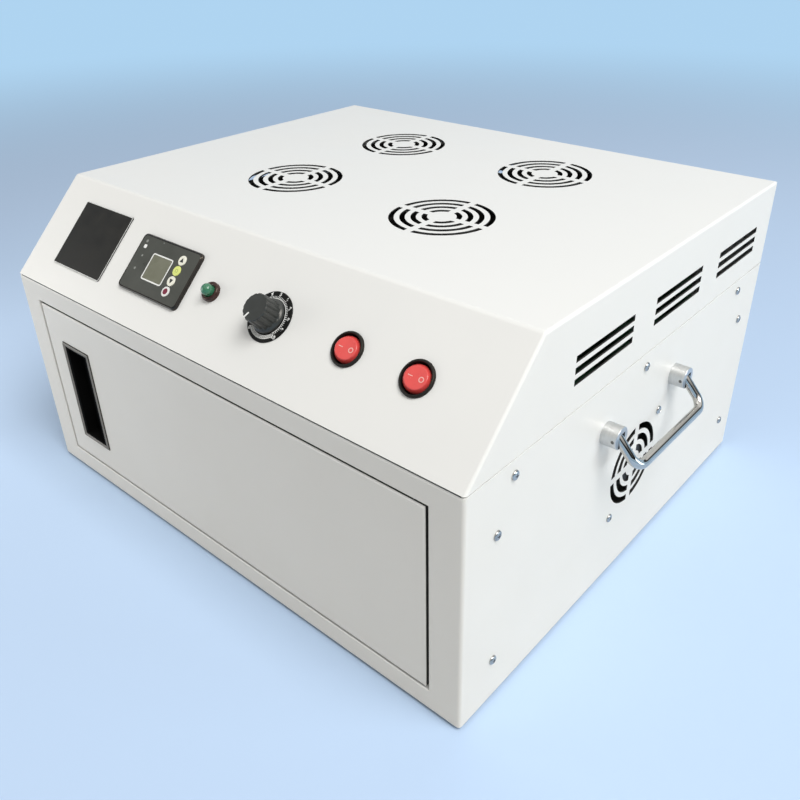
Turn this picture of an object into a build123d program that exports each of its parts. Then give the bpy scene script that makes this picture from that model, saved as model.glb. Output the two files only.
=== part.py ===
"""Bench-top ultraviolet curing box.

A folded-steel cabinet with a sloping control panel stands on four rubber feet.
Its front door opens to the right on two pivot pins and closes a bright chamber,
lit from above by four fan-cooled lamp modules. A hinged handle sits on each side.

Millimetres. The origin is on the table, under the middle of the cabinet.
+X is the right-hand side seen from the front, +Y runs to the back and +Z is up.
"""

from build123d import *
import math
import os

os.makedirs("parts", exist_ok=True)

# Cabinet, over its painted sheet metal
cabinet_width = 460.0
cabinet_depth = 400.0
cabinet_height = 245.0
lower_height = 178.0
slope_run = 67.0
sheet = 1.2
lower_bend = 2.5
hood_bend = 2.0
seam_gap = 0.8
fold = 12.0
foot_height = 3.0
foot_radius = 11.0
foot_inset = 32.0
edge_reveal = 0.5

# Small round forms that repeat or stay hidden are many-sided, to keep the mesh small
small_sides = 24
hidden_sides = 16

# Fan grilles punched in the top and in the sides
grille_sides = 16
top_grille_radius = 37.0
top_grille_pitch = 8.05
top_grille_slot = 3.3
top_grille_rings = 4
top_grille_web = 5.6
side_grille_radius = 30.5
side_grille_pitch = 8.7
side_grille_slot = 4.0
side_grille_rings = 3
side_grille_web = 5.6
top_fan_half_pitch_x = 76.0
top_fan_rear_inset = 93.8
top_fan_pitch_y = 133.4
side_fan_height = 87.4

# Vent slots in the sides of the hood and in the rear panel
vent_length = 70.0
vent_slot = 3.0
vent_row_pitch = 7.75
vent_rows = 3
vent_group_pitch = 99.75
vent_groups = 3
vent_middle_drop = 39.0
vent_middle_back = 36.75

# Straps that join the hood to the lower shell
strap_drop = 20.0
strap_rise = 9.0
strap_inset = 24.0

# Returns folded up along the base plate
tray_front_gap = 36.0
tray_rear_gap = 12.0
tray_corner_gap = 24.0

# Door opening and door
opening_width = 411.4
opening_height = 144.9
opening_bottom = 15.4
opening_bend = 0.8
jamb_depth = 18.0
door_side_gap = 2.4
door_end_gap = 1.8
door_depth = 14.0
door_back_sheet = 1.0
door_bend = 1.5
door_back_inset = 1.0
pivot_from_edge = 6.1
pivot_from_front = 5.0
pin_radius = 2.0
pin_play = 0.05
pin_collar_radius = 3.0
pivot_notch = 6.9
bush_width = 11.0
bush_depth = 8.0
bush_height = 10.0
running_gap = 0.3

# Recessed pull in the door
pull_width = 38.9
pull_height = 92.0
pull_from_edge = 41.45
pull_middle_height = 84.8
pull_lip = 1.2
pull_rim = 2.6
pull_cup_width = 25.0
pull_cup_height = 81.7
pull_depth = 11.5
pull_wall = 1.4
pull_bevel = 0.9

# Door seal, magnets and lamp interlock
seal_thickness = 2.7
seal_width = 7.0
seal_inset = 1.0
seal_joint = 0.3
magnet_width = 7.0
magnet_height = 30.0
magnet_thickness = 2.6
magnet_pitch = 70.0
sensor_width = 5.0
sensor_height = 24.0
sensor_depth = 9.0

# Curing chamber
chamber_side_space = 46.0
chamber_floor = 27.0
mouth_side_margin = 21.7
mouth_height = 117.0
chamber_rear_space = 46.8
front_bulkhead_return = 24.0
rear_bulkhead_return = 34.0
deck_height = 153.0
deck_lip = 10.0
liner_slot_length = 56.0
liner_slot = 5.0
liner_slot_pitch = 16.0
liner_slots = 3

# Lamp modules over the chamber
window_width = 250.0
window_length = 222.0
window_thickness = 4.0
window_drop = 3.0
frame_wall = 2.0
frame_lip = 3.0
frame_floor = 1.5
frame_play = 0.5
board_size = 84.0
board_thickness = 1.6
lamp_rows = 2
lamp_size = 22.0
lamp_height = 1.0
sink_width = 126.0
sink_length = 118.0
sink_base = 6.0
sink_fins = 9
sink_fin = 1.8
top_fan_headroom = 4.8
deck_window_margin = 4.0

# Axial fans
top_fan_size = 80.0
side_fan_size = 70.0
fan_depth = 25.0
fan_wall = 1.8
fan_sides = 24
fan_hub_radius = 17.0
fan_hub_sides = 14
fan_blades = 7
fan_blade_chord = 19.0
fan_blade_thickness = 1.2
fan_blade_pitch = 38.0
fan_blade_root = 2.0
fan_tip_gap = 0.9
fan_plate = 2.5
fan_strut = 5.0

# Electronics on the deck
supply_width = 76.0
supply_length = 160.0
supply_height = 42.0
supply_from_side = 8.0
terminal_drop = 21.0
terminal_depth = 12.0
driver_width = 66.0
driver_length = 92.0
driver_pitch = 104.0
driver_board = 1.6
spacer_width = 5.0
spacer_inset = 6.0
spacer_height = 6.0
choke_width = 33.0
choke_length = 30.0
choke_back = 18.0
relay_size = 16.0
relay_aside = 16.0
relay_forward = 23.0
driver_part_height = 21.0
electronics_middle = 40.0

# Side handles
post_radius = 8.0
post_length = 11.5
post_pitch = 98.5
handle_height = 139.3
handle_slot = 5.2
bail_rod_radius = 3.4
bail_rod_sides = 8
bail_pivot_out = 9.0
bail_arm = 24.0
bail_bend = 9.0
bail_rest_angle = 42.0
bail_level_angle = 90.0
bail_pin_radius = 1.25

# Controls on the sloping panel, measured down from its top edge
controls_down = 48.2
plate_from_left = 69.15
plate_down = 46.45
plate_width = 65.1
plate_height = 55.7
plate_thickness = 0.8
timer_from_left = 161.3
timer_width = 70.2
timer_height = 44.8
timer_proud = 5.0
timer_corner = 4.0
timer_bevel = 1.6
timer_face = 1.6
timer_case_depth = 30.0
timer_case_inset = 2.0
timer_case_rise = 1.6
timer_case_play = 0.2
timer_window_width = 24.2
timer_window_height = 21.0
timer_window_offset = -4.7
key_offset = 17.1
key_radius = 3.5
key_pitch = 8.25
key_count = 4
key_rise = 0.7
key_travel = 0.5
key_play = 0.3
button_from_left = 219.7
button_ring_radius = 7.5
button_ring_height = 3.2
button_barrel_radius = 5.9
button_barrel_length = 20.0
button_cap_radius = 4.8
button_cap_rise = 9.0
button_cap_bevel = 2.2
button_cap_depth = 3.0
button_travel = 1.8
dial_from_left = 279.0
dial_radius = 17.7
dial_thickness = 0.8
knob_base_radius = 12.0
knob_top_radius = 10.2
knob_bottom = 1.4
knob_height = 17.5
knob_sides = 18
knob_bevel = 0.9
pot_shaft_radius = 3.0
pot_shaft_top = 14.0
pot_bush_radius = 4.5
pot_case_width = 22.0
pot_case_depth = 10.0
pot_bore_depth = 5.0
switch_from_left = 347.8
switch_pitch = 53.5
switch_bezel_radius = 11.45
switch_bezel_height = 2.0
switch_bezel_bevel = 0.9
switch_bore_radius = 9.7
switch_barrel_radius = 10.5
switch_barrel_depth = 18.0
switch_well_depth = 7.0
rocker_radius = 8.7
rocker_middle = 2.2
rocker_bottom = 4.0
rocker_valley = 10.0
rocker_throw = 18.0
trunnion_radius = 1.2
trunnion_reach = 0.5
trunnion_end_play = 0.15
panel_hole_play = 0.2

# Mains inlet in the rear panel
inlet_from_left = 70.0
inlet_height = 46.0
inlet_flange_width = 50.0
inlet_flange_height = 28.0
inlet_flange = 3.0
inlet_socket_width = 24.0
inlet_socket_height = 16.5
inlet_socket_depth = 17.0
inlet_corner = 4.5
inlet_wall = 1.6
inlet_pin_length = 11.0
inlet_pin_width = 2.0
inlet_pin_height = 4.0
inlet_pin_pitch = 7.0
inlet_pin_rise = 2.0

# Places that follow from the sizes above
half_width = cabinet_width / 2
front_y = -cabinet_depth / 2
rear_y = cabinet_depth / 2
panel_y = rear_y - sheet
floor_z = foot_height
seam_z = floor_z + lower_height
top_z = floor_z + cabinet_height
shell_top = seam_z - seam_gap
inner_half = half_width - sheet
base_top = floor_z + sheet
lean = math.atan2(cabinet_height - lower_height, slope_run)
slope = Plane(
    origin=(0, front_y + slope_run, top_z),
    x_dir=(1, 0, 0),
    z_dir=(0, -math.sin(lean), math.cos(lean)),
)
opening_middle = floor_z + opening_bottom + opening_height / 2
door_width = opening_width - 2 * door_side_gap
door_height = opening_height - 2 * door_end_gap
door_half = door_width / 2
door_rear = front_y + door_depth
door_back_y = door_rear + door_back_sheet
pivot_x = door_half - pivot_from_edge
pivot_y = front_y + pivot_from_front
bulkhead_y = front_y + jamb_depth
chamber_floor_z = floor_z + chamber_floor
mouth_middle = chamber_floor_z + mouth_height / 2
liner_front = bulkhead_y + sheet
liner_back = rear_y - chamber_rear_space
chamber_width = cabinet_width - 2 * chamber_side_space
mouth_width = opening_width - 2 * mouth_side_margin
deck_z = floor_z + deck_height
deck_top = deck_z + sheet
top_fan_y = rear_y - top_fan_rear_inset - top_fan_pitch_y / 2
top_fan_top = top_z - sheet - top_fan_headroom
sink_top = top_fan_top - fan_depth
side_fan_z = floor_z + side_fan_height
handle_z = floor_z + handle_height
pull_x = pull_from_edge - door_half
pull_z = floor_z + pull_middle_height
vent_z = top_z - vent_middle_drop
window_top = deck_z - window_drop
lamp_y = top_fan_y
seal_side = mouth_width / 2 + seal_inset
seal_low = chamber_floor_z - seal_inset
seal_high = chamber_floor_z + mouth_height + seal_inset
magnet_x = -(seal_side + seal_width + seal_inset + magnet_width / 2)
inlet_x = half_width - inlet_from_left
inlet_z = floor_z + inlet_height


def front_plane(y):
    """Upright plane across the cabinet, facing the front, with local x and y as X and Z."""
    return Plane.XZ.offset(-y)


def level(z):
    """Level plane at a height."""
    return Plane.XY.offset(z)


def on_slope(from_left, down, height=0.0):
    """Plane on the sloping panel, measured from its left end and top edge."""
    spot = slope.from_local_coords((from_left - half_width, -down, height))
    return Plane(origin=spot, x_dir=slope.x_dir, z_dir=slope.z_dir)


def block(low, high, mode=Mode.ADD):
    """Square-edged block between two opposite corners."""
    size = Vector(*high) - Vector(*low)
    with Locations((Vector(*high) + Vector(*low)) / 2):
        Box(*size, mode=mode)


def ring_slots(radius, pitch, slot, rings, web):
    """Concentric ring slots, crossed by two straight webs."""
    for ring in range(rings):
        outer = radius - ring * pitch
        RegularPolygon(outer, grille_sides)
        RegularPolygon(outer - slot, grille_sides, mode=Mode.SUBTRACT)
    Rectangle(web, 2 * radius + web, mode=Mode.SUBTRACT)
    Rectangle(2 * radius + web, web, mode=Mode.SUBTRACT)


def save(part, name):
    """Label a finished piece and write it."""
    part.label = name
    export_step(part, f"parts/{name}.step")


# Middles of the four top fans, as (X, Y)
top_fans_at = [
    (x * top_fan_half_pitch_x, top_fan_y + y * top_fan_pitch_y / 2)
    for y in (-1, 1)
    for x in (-1, 1)
]

# Hood: one folded sheet forms the top, the slope and the upper sides
with BuildPart() as hood:
    with BuildSketch(Plane.YZ):
        with BuildLine():
            Polyline(
                (front_y, seam_z),
                (front_y + slope_run, top_z),
                (panel_y, top_z),
                (panel_y, seam_z),
                close=True,
            )
        make_face()
    extrude(amount=half_width, both=True)
    folds = hood.edges().filter_by(
        lambda edge: edge.center().Z > seam_z + sheet and edge.center().Y < panel_y - sheet
    )
    fillet(folds, hood_bend)
    under = hood.faces().sort_by(Axis.Z)[0]
    behind = hood.faces().sort_by(Axis.Y)[-1]
    offset(amount=-sheet, openings=[under, behind])
    # Folded-in edge along the rear of the top
    block((-inner_half, panel_y - sheet, top_z - sheet - fold), (inner_half, panel_y, top_z - sheet))
    # Straps that reach down inside the lower shell
    for side in (-1, 1):
        outer = side * inner_half
        inner = side * (inner_half - sheet)
        block(
            (min(outer, inner), front_y + strap_inset, seam_z - strap_drop),
            (max(outer, inner), panel_y - strap_inset, seam_z + strap_rise),
        )
    with BuildSketch(level(top_z)):
        with Locations(*top_fans_at):
            ring_slots(
                top_grille_radius, top_grille_pitch, top_grille_slot, top_grille_rings, top_grille_web
            )
    extrude(amount=-sheet, mode=Mode.SUBTRACT)
    with BuildSketch(Plane.YZ):
        with Locations((vent_middle_back, vent_z)):
            with GridLocations(vent_group_pitch, vent_row_pitch, vent_groups, vent_rows):
                Rectangle(vent_length, vent_slot)
    extrude(amount=half_width, both=True, mode=Mode.SUBTRACT)
    with BuildSketch(slope):
        with Locations((timer_from_left - half_width, -controls_down)):
            Rectangle(
                timer_width - 2 * timer_case_inset,
                timer_height - 2 * timer_case_inset,
            )
        with Locations((button_from_left - half_width, -controls_down)):
            RegularPolygon(button_barrel_radius + panel_hole_play, hidden_sides)
        with Locations((dial_from_left - half_width, -controls_down)):
            RegularPolygon(pot_bush_radius, hidden_sides)
        with Locations(
            (switch_from_left - half_width, -controls_down),
            (switch_from_left + switch_pitch - half_width, -controls_down),
        ):
            RegularPolygon(switch_barrel_radius + panel_hole_play, small_sides)
    extrude(amount=-sheet, mode=Mode.SUBTRACT)
save(hood.part, "hood")

# Lower shell: front and sides folded from one sheet, with the door opening
with BuildPart() as lower_shell:
    block((-half_width, front_y, floor_z), (half_width, panel_y, shell_top))
    front_face = lower_shell.faces().sort_by(Axis.Y)[0]
    front_folds = front_face.edges().filter_by(lambda edge: edge.center().Z > floor_z + sheet)
    fillet(front_folds, lower_bend)
    under = lower_shell.faces().sort_by(Axis.Z)[0]
    behind = lower_shell.faces().sort_by(Axis.Y)[-1]
    offset(amount=-sheet, openings=[under, behind])
    # The top is open behind a folded-in front edge
    block(
        (-inner_half, front_y + fold, shell_top - 2 * sheet),
        (inner_half, panel_y, shell_top),
        mode=Mode.SUBTRACT,
    )
    for side in (-1, 1):
        outer = side * inner_half
        inner = side * (inner_half - fold)
        block(
            (min(outer, inner), panel_y - sheet, base_top),
            (max(outer, inner), panel_y, shell_top),
        )
    # Door opening, lined by jambs that run back to the bulkhead
    with BuildSketch(front_plane(front_y)):
        with Locations((0, opening_middle)):
            Rectangle(opening_width + 2 * sheet, opening_height + 2 * sheet)
    extrude(amount=-jamb_depth)
    with BuildSketch(front_plane(front_y)):
        with Locations((0, opening_middle)):
            Rectangle(opening_width, opening_height)
    extrude(amount=-jamb_depth, mode=Mode.SUBTRACT)
    opening_edges = lower_shell.faces().sort_by(Axis.Y)[0].inner_wires()[0].edges()
    fillet(opening_edges, opening_bend)
    with BuildSketch(Plane.YZ):
        with Locations((0, side_fan_z)):
            ring_slots(
                side_grille_radius,
                side_grille_pitch,
                side_grille_slot,
                side_grille_rings,
                side_grille_web,
            )
    extrude(amount=half_width, both=True, mode=Mode.SUBTRACT)
save(lower_shell.part, "lower_shell")

# Base plate, a tray that closes the cabinet from below
with BuildPart() as base_plate:
    block((-inner_half, front_y + sheet, floor_z), (inner_half, panel_y, base_top))
    fillet(base_plate.edges().filter_by(Axis.Z).group_by(Axis.Y)[0], lower_bend)
    for side in (-1, 1):
        outer = side * inner_half
        inner = side * (inner_half - sheet)
        block(
            (min(outer, inner), bulkhead_y + tray_front_gap, base_top),
            (max(outer, inner), liner_back - tray_rear_gap, base_top + fold),
        )
    block(
        (-inner_half + tray_corner_gap, panel_y - sheet, base_top),
        (inner_half - tray_corner_gap, panel_y, base_top + fold),
    )
save(base_plate.part, "base_plate")

# Rear panel with vents and the inlet opening, on the folded-in edges
with BuildPart() as rear_panel:
    with BuildSketch(front_plane(rear_y)):
        with Locations((0, (floor_z + top_z) / 2)):
            Rectangle(cabinet_width - 2 * edge_reveal, cabinet_height - 2 * edge_reveal)
        with Locations((0, vent_z)):
            with GridLocations(vent_group_pitch, vent_row_pitch, vent_groups, vent_rows):
                Rectangle(vent_length, vent_slot, mode=Mode.SUBTRACT)
        with Locations((inlet_x, inlet_z)):
            Rectangle(
                inlet_socket_width + 2 * inlet_wall + 2 * panel_hole_play,
                inlet_socket_height + 2 * inlet_wall + 2 * panel_hole_play,
                mode=Mode.SUBTRACT,
            )
    extrude(amount=sheet)
save(rear_panel.part, "rear_panel")

# Bulkheads stand on the base plate, before and behind the chamber
with BuildPart() as front_bulkhead:
    block((-inner_half, bulkhead_y, base_top), (inner_half, liner_front, deck_z))
    for side in (-1, 1):
        outer = side * inner_half
        inner = side * (inner_half - sheet)
        block(
            (min(outer, inner), liner_front, base_top + fold),
            (max(outer, inner), liner_front + front_bulkhead_return, deck_z),
        )
    with BuildSketch(front_plane(bulkhead_y)):
        with Locations((0, mouth_middle)):
            Rectangle(mouth_width, mouth_height)
        with Locations((magnet_x, opening_middle)):
            Rectangle(sensor_width + 2 * panel_hole_play, sensor_height + 2 * panel_hole_play)
    extrude(amount=-sheet, mode=Mode.SUBTRACT)
save(front_bulkhead.part, "front_bulkhead")

with BuildPart() as rear_bulkhead:
    bulkhead_front = liner_back + sheet
    block((-inner_half, bulkhead_front, base_top), (inner_half, bulkhead_front + sheet, deck_z))
    for side in (-1, 1):
        outer = side * inner_half
        inner = side * (inner_half - sheet)
        block(
            (min(outer, inner), bulkhead_front + sheet, base_top + fold),
            (max(outer, inner), bulkhead_front + sheet + rear_bulkhead_return, deck_z),
        )
save(rear_bulkhead.part, "rear_bulkhead")

# Chamber liner: bright tray, open at the front and under the lamps
with BuildPart() as chamber_liner:
    liner_half = chamber_width / 2 + sheet
    block(
        (-liner_half, liner_front, chamber_floor_z - sheet),
        (liner_half, liner_back + sheet, deck_z),
    )
    block(
        (-chamber_width / 2, liner_front, chamber_floor_z),
        (chamber_width / 2, liner_back, deck_z),
        mode=Mode.SUBTRACT,
    )
    for side in (-1, 1):
        outer = side * (liner_half + fold)
        inner = side * chamber_width / 2
        block(
            (min(outer, inner), liner_front, deck_z - sheet),
            (max(outer, inner), liner_back + sheet, deck_z),
        )
    with BuildSketch(Plane.YZ):
        with Locations((0, side_fan_z)):
            with GridLocations(0, liner_slot_pitch, 1, liner_slots):
                Rectangle(liner_slot_length, liner_slot)
    extrude(amount=liner_half, both=True, mode=Mode.SUBTRACT)
save(chamber_liner.part, "chamber_liner")

# Deck over the chamber, with a window under each lamp module
with BuildPart() as equipment_deck:
    block((-inner_half, bulkhead_y, deck_z), (inner_half, panel_y - sheet, deck_top))
    block((-inner_half, bulkhead_y, deck_top), (inner_half, bulkhead_y + sheet, deck_top + deck_lip))
    with BuildSketch(level(deck_z)):
        with Locations(*top_fans_at):
            Rectangle(board_size + 2 * deck_window_margin, board_size + 2 * deck_window_margin)
    extrude(amount=sheet, mode=Mode.SUBTRACT)
save(equipment_deck.part, "equipment_deck")

# Window that keeps the lamps clean, and the frame that holds it under the deck
with BuildPart() as lamp_window:
    with BuildSketch(level(window_top)):
        with Locations((0, lamp_y)):
            Rectangle(window_width, window_length)
    extrude(amount=-window_thickness)
save(lamp_window.part, "lamp_window")

frame_bottom = window_top - window_thickness - frame_floor
with BuildPart() as window_frame:
    with BuildSketch(level(frame_bottom)):
        with Locations((0, lamp_y)):
            Rectangle(
                window_width + 2 * (frame_play + frame_wall),
                window_length + 2 * (frame_play + frame_wall),
            )
    extrude(amount=deck_z - frame_bottom)
    with BuildSketch(level(window_top - window_thickness)):
        with Locations((0, lamp_y)):
            Rectangle(window_width + 2 * frame_play, window_length + 2 * frame_play)
    extrude(amount=window_thickness + window_drop, mode=Mode.SUBTRACT)
    with BuildSketch(level(frame_bottom)):
        with Locations((0, lamp_y)):
            Rectangle(window_width - 2 * frame_lip, window_length - 2 * frame_lip)
    extrude(amount=frame_floor, mode=Mode.SUBTRACT)
save(window_frame.part, "window_frame")

# Lamp boards under the heat sinks, each with a square array of emitters
with BuildPart() as lamp_boards:
    with BuildSketch(level(deck_top)):
        with Locations(*top_fans_at):
            Rectangle(board_size, board_size)
    extrude(amount=-board_thickness)
    with BuildSketch(level(deck_top - board_thickness)):
        lamp_pitch = board_size / lamp_rows
        with Locations(*top_fans_at):
            with GridLocations(lamp_pitch, lamp_pitch, lamp_rows, lamp_rows):
                Rectangle(lamp_size, lamp_size)
    extrude(amount=-lamp_height)
save(lamp_boards.part, "lamp_boards")

# Extruded heat sinks, finned on top
fin_pitch = (sink_width - sink_fin) / (sink_fins - 1)
with BuildPart() as heat_sinks:
    rear_ends = [
        front_plane(top_fan_y + row * top_fan_pitch_y / 2 - sink_length / 2) for row in (-1, 1)
    ]
    with BuildSketch(*rear_ends):
        with Locations(
            (-top_fan_half_pitch_x, deck_top + sink_base / 2),
            (top_fan_half_pitch_x, deck_top + sink_base / 2),
        ):
            Rectangle(sink_width, sink_base)
        with Locations(
            (-top_fan_half_pitch_x, (deck_top + sink_base + sink_top) / 2),
            (top_fan_half_pitch_x, (deck_top + sink_base + sink_top) / 2),
        ):
            with GridLocations(fin_pitch, 0, sink_fins, 1):
                Rectangle(sink_fin, sink_top - deck_top - sink_base)
    extrude(amount=-sink_length)
save(heat_sinks.part, "heat_sinks")


# Axial fans: a square frame with a motor seat on four struts, and a bladed rotor
def fan_frames(backs, size):
    """Frames on the planes of their struts, open towards each plane's normal."""
    bore = size / 2 - fan_wall
    with BuildPart() as frames:
        with BuildSketch(*backs):
            Rectangle(size, size)
            RegularPolygon(bore, fan_sides, mode=Mode.SUBTRACT)
        extrude(amount=fan_depth)
        with BuildSketch(*backs):
            Rectangle(fan_strut, 2 * bore)
            Rectangle(2 * bore, fan_strut)
            RegularPolygon(fan_hub_radius, fan_hub_sides)
        extrude(amount=fan_plate)
    return frames.part


def fan_rotor(back, size):
    """Hub and twisted-in blades over the motor seat whose underside lies on the plane."""
    tip_circle = size / 2 - fan_wall - fan_tip_gap
    swing = fan_blade_chord / 2 * math.cos(math.radians(fan_blade_pitch))
    tip = math.sqrt(tip_circle**2 - swing**2)
    root = fan_hub_radius - fan_blade_root
    hub_bottom = fan_plate + running_gap
    with BuildPart() as rotor:
        with BuildSketch(back.offset(hub_bottom)):
            RegularPolygon(fan_hub_radius, fan_hub_sides)
        extrude(amount=fan_depth - hub_bottom)
        with Locations(back.offset((fan_depth + hub_bottom) / 2)):
            with PolarLocations((root + tip) / 2, fan_blades):
                Box(tip - root, fan_blade_chord, fan_blade_thickness, rotation=(fan_blade_pitch, 0, 0))
    return rotor.part


top_fan_backs = [Plane(origin=(x, y, sink_top)) for x, y in top_fans_at]
save(fan_frames(top_fan_backs, top_fan_size), "top_fan_frames")
for number, back in enumerate(top_fan_backs, start=1):
    save(fan_rotor(back, top_fan_size), f"top_fan_rotor_{number}")

side_fan_backs = {
    "right": Plane(origin=(inner_half - fan_depth, 0, side_fan_z), x_dir=(0, 1, 0), z_dir=(1, 0, 0)),
    "left": Plane(origin=(fan_depth - inner_half, 0, side_fan_z), x_dir=(0, 1, 0), z_dir=(-1, 0, 0)),
}
save(fan_frames(list(side_fan_backs.values()), side_fan_size), "side_fan_frames")
for side, back in side_fan_backs.items():
    save(fan_rotor(back, side_fan_size), f"side_fan_rotor_{side}")

# Power supply on the left of the deck, with its terminal shelf at the front
with BuildPart() as power_supply:
    supply_left = -inner_half + supply_from_side
    supply_front = electronics_middle - supply_length / 2
    block(
        (supply_left, supply_front, deck_top),
        (supply_left + supply_width, supply_front + supply_length, deck_top + supply_height),
    )
    block(
        (supply_left, supply_front, deck_top + supply_height - terminal_drop),
        (supply_left + supply_width, supply_front + terminal_depth, deck_top + supply_height),
        mode=Mode.SUBTRACT,
    )
save(power_supply.part, "power_supply")

# Two lamp driver boards on spacers, on the right of the deck
with BuildPart() as driver_boards:
    driver_x = inner_half - supply_from_side - driver_width / 2
    driver_spots = [
        (driver_x, electronics_middle + row * driver_pitch / 2) for row in (-1, 1)
    ]
    with BuildSketch(level(deck_top)):
        with Locations(*driver_spots):
            with GridLocations(driver_width - 2 * spacer_inset, driver_length - 2 * spacer_inset, 2, 2):
                Rectangle(spacer_width, spacer_width)
    extrude(amount=spacer_height)
    with BuildSketch(level(deck_top + spacer_height)):
        with Locations(*driver_spots):
            Rectangle(driver_width, driver_length)
    extrude(amount=driver_board)
    with BuildSketch(level(deck_top + spacer_height + driver_board)):
        with Locations(*driver_spots):
            with Locations((0, choke_back)):
                Rectangle(choke_width, choke_length)
            with Locations((-relay_aside, -relay_forward)):
                Rectangle(relay_size, relay_size)
    extrude(amount=driver_part_height)
save(driver_boards.part, "driver_boards")

# Door: a folded tray with an aperture for the pull and notches for the pivots
with BuildPart() as door_skin:
    with BuildSketch(front_plane(front_y)):
        with Locations((0, opening_middle)):
            Rectangle(door_width, door_height)
    extrude(amount=-door_depth)
    fillet(door_skin.faces().sort_by(Axis.Y)[0].edges(), door_bend)
    offset(amount=-sheet, openings=door_skin.faces().sort_by(Axis.Y)[-1])
    with BuildSketch(front_plane(front_y)):
        with Locations((pull_x, pull_z)):
            Rectangle(pull_width - 2 * pull_rim, pull_height - 2 * pull_rim)
    extrude(amount=-sheet, mode=Mode.SUBTRACT)
    notch_front = pivot_y - pivot_notch / 2
    block(
        (pivot_x - pivot_notch / 2, notch_front, opening_middle - door_height / 2),
        (pivot_x + pivot_notch / 2, door_rear, opening_middle + door_height / 2),
        mode=Mode.SUBTRACT,
    )
save(door_skin.part, "door_skin")

with BuildPart() as door_back:
    with BuildSketch(front_plane(door_rear)):
        with Locations((0, opening_middle)):
            Rectangle(door_width - 2 * door_back_inset, door_height - 2 * door_back_inset)
    extrude(amount=-door_back_sheet)
save(door_back.part, "door_back")

# Pivot bushes in the door's right-hand corners, and shouldered pins in the jambs
bush_end = opening_middle + door_height / 2 - sheet
bush_side = door_half - door_bend
jamb_face = opening_middle + opening_height / 2
with BuildPart() as pivot_bushes:
    for end in (-1, 1):
        near = opening_middle + end * (bush_end - opening_middle)
        far = opening_middle + end * (bush_end - bush_height - opening_middle)
        block(
            (bush_side - bush_width, front_y + door_bend, min(near, far)),
            (bush_side, front_y + door_bend + bush_depth, max(near, far)),
        )
    with BuildSketch(level(opening_middle)):
        with Locations((pivot_x, pivot_y)):
            Circle(pin_radius + pin_play)
    extrude(amount=door_height, both=True, mode=Mode.SUBTRACT)
save(pivot_bushes.part, "pivot_bushes")

with BuildPart() as pivot_pins:
    for end in (-1, 1):
        pin_plane = Plane(
            origin=(pivot_x, pivot_y, opening_middle + end * (jamb_face - opening_middle)),
            z_dir=(0, 0, end),
        )
        with BuildSketch(pin_plane):
            Circle(pin_radius)
        extrude(amount=-(jamb_face - bush_end + bush_height - running_gap))
        with BuildSketch(pin_plane):
            RegularPolygon(pin_collar_radius, hidden_sides)
        extrude(amount=-(jamb_face - bush_end - running_gap))
save(pivot_pins.part, "pivot_pins")

# Recessed pull: a moulded cup whose rim lies on the door
with BuildPart() as door_pull:
    with BuildSketch(front_plane(front_y)):
        with Locations((pull_x, pull_z)):
            Rectangle(pull_width, pull_height)
    extrude(amount=pull_lip)
    with BuildSketch(front_plane(front_y)):
        with Locations((pull_x, pull_z)):
            Rectangle(
                pull_cup_width + 2 * pull_wall,
                pull_cup_height + 2 * pull_wall,
            )
    extrude(amount=-pull_depth)
    with BuildSketch(front_plane(front_y - pull_lip)):
        with Locations((pull_x, pull_z)):
            Rectangle(pull_cup_width, pull_cup_height)
    extrude(amount=-(pull_depth + pull_lip - pull_wall), mode=Mode.SUBTRACT)
    chamfer(door_pull.faces().sort_by(Axis.Y)[0].outer_wire().edges(), pull_bevel)
save(door_pull.part, "door_pull")

# Foam seal in four strips on the back of the door
with BuildPart() as door_seal:
    for side in (-1, 1):
        inner = side * seal_side
        outer = side * (seal_side + seal_width)
        block(
            (min(inner, outer), door_back_y, seal_low + seal_joint),
            (max(inner, outer), door_back_y + seal_thickness, seal_high - seal_joint),
        )
    for low, high in ((seal_low - seal_width, seal_low), (seal_high, seal_high + seal_width)):
        block(
            (-seal_side - seal_width, door_back_y, low),
            (seal_side + seal_width, door_back_y + seal_thickness, high),
        )
save(door_seal.part, "door_seal")

# Catch magnets on the bulkhead hold the steel door shut
with BuildPart() as catch_magnets:
    with BuildSketch(front_plane(bulkhead_y)):
        with Locations((magnet_x, opening_middle)):
            with GridLocations(0, magnet_pitch, 1, 2):
                Rectangle(magnet_width, magnet_height)
    extrude(amount=magnet_thickness)
save(catch_magnets.part, "catch_magnets")

# Interlock: a sensor in the bulkhead and a magnet inside the door switch the lamps off
with BuildPart() as interlock_sensor:
    with BuildSketch(front_plane(bulkhead_y - magnet_thickness)):
        with Locations((magnet_x, opening_middle)):
            Rectangle(sensor_width, sensor_height)
    extrude(amount=-sensor_depth)
save(interlock_sensor.part, "interlock_sensor")

with BuildPart() as interlock_magnet:
    with BuildSketch(front_plane(door_rear)):
        with Locations((magnet_x, opening_middle)):
            Rectangle(sensor_width, sensor_height)
    extrude(amount=sensor_width)
save(interlock_magnet.part, "interlock_magnet")


# Handles: slotted posts, cross pins and a chrome bail that lifts from its stop to level
slot_half = bail_rod_radius + running_gap
slot_reach = post_length + post_radius


def handle_pivot(side, along=0.0):
    """Spot on the bail's turning axis on the right (1) or left (-1), at a distance along Y."""
    return Vector(side * (half_width + bail_pivot_out), along, handle_z)


def bail_plane(side, angle, along=0.0):
    """Plane across the bail's axis, its x pointing down the bail swung out by an angle."""
    swing = math.radians(angle)
    return Plane(
        origin=handle_pivot(side, along),
        x_dir=(side * math.sin(swing), 0, -math.cos(swing)),
        z_dir=(0, 1, 0),
    )


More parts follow.
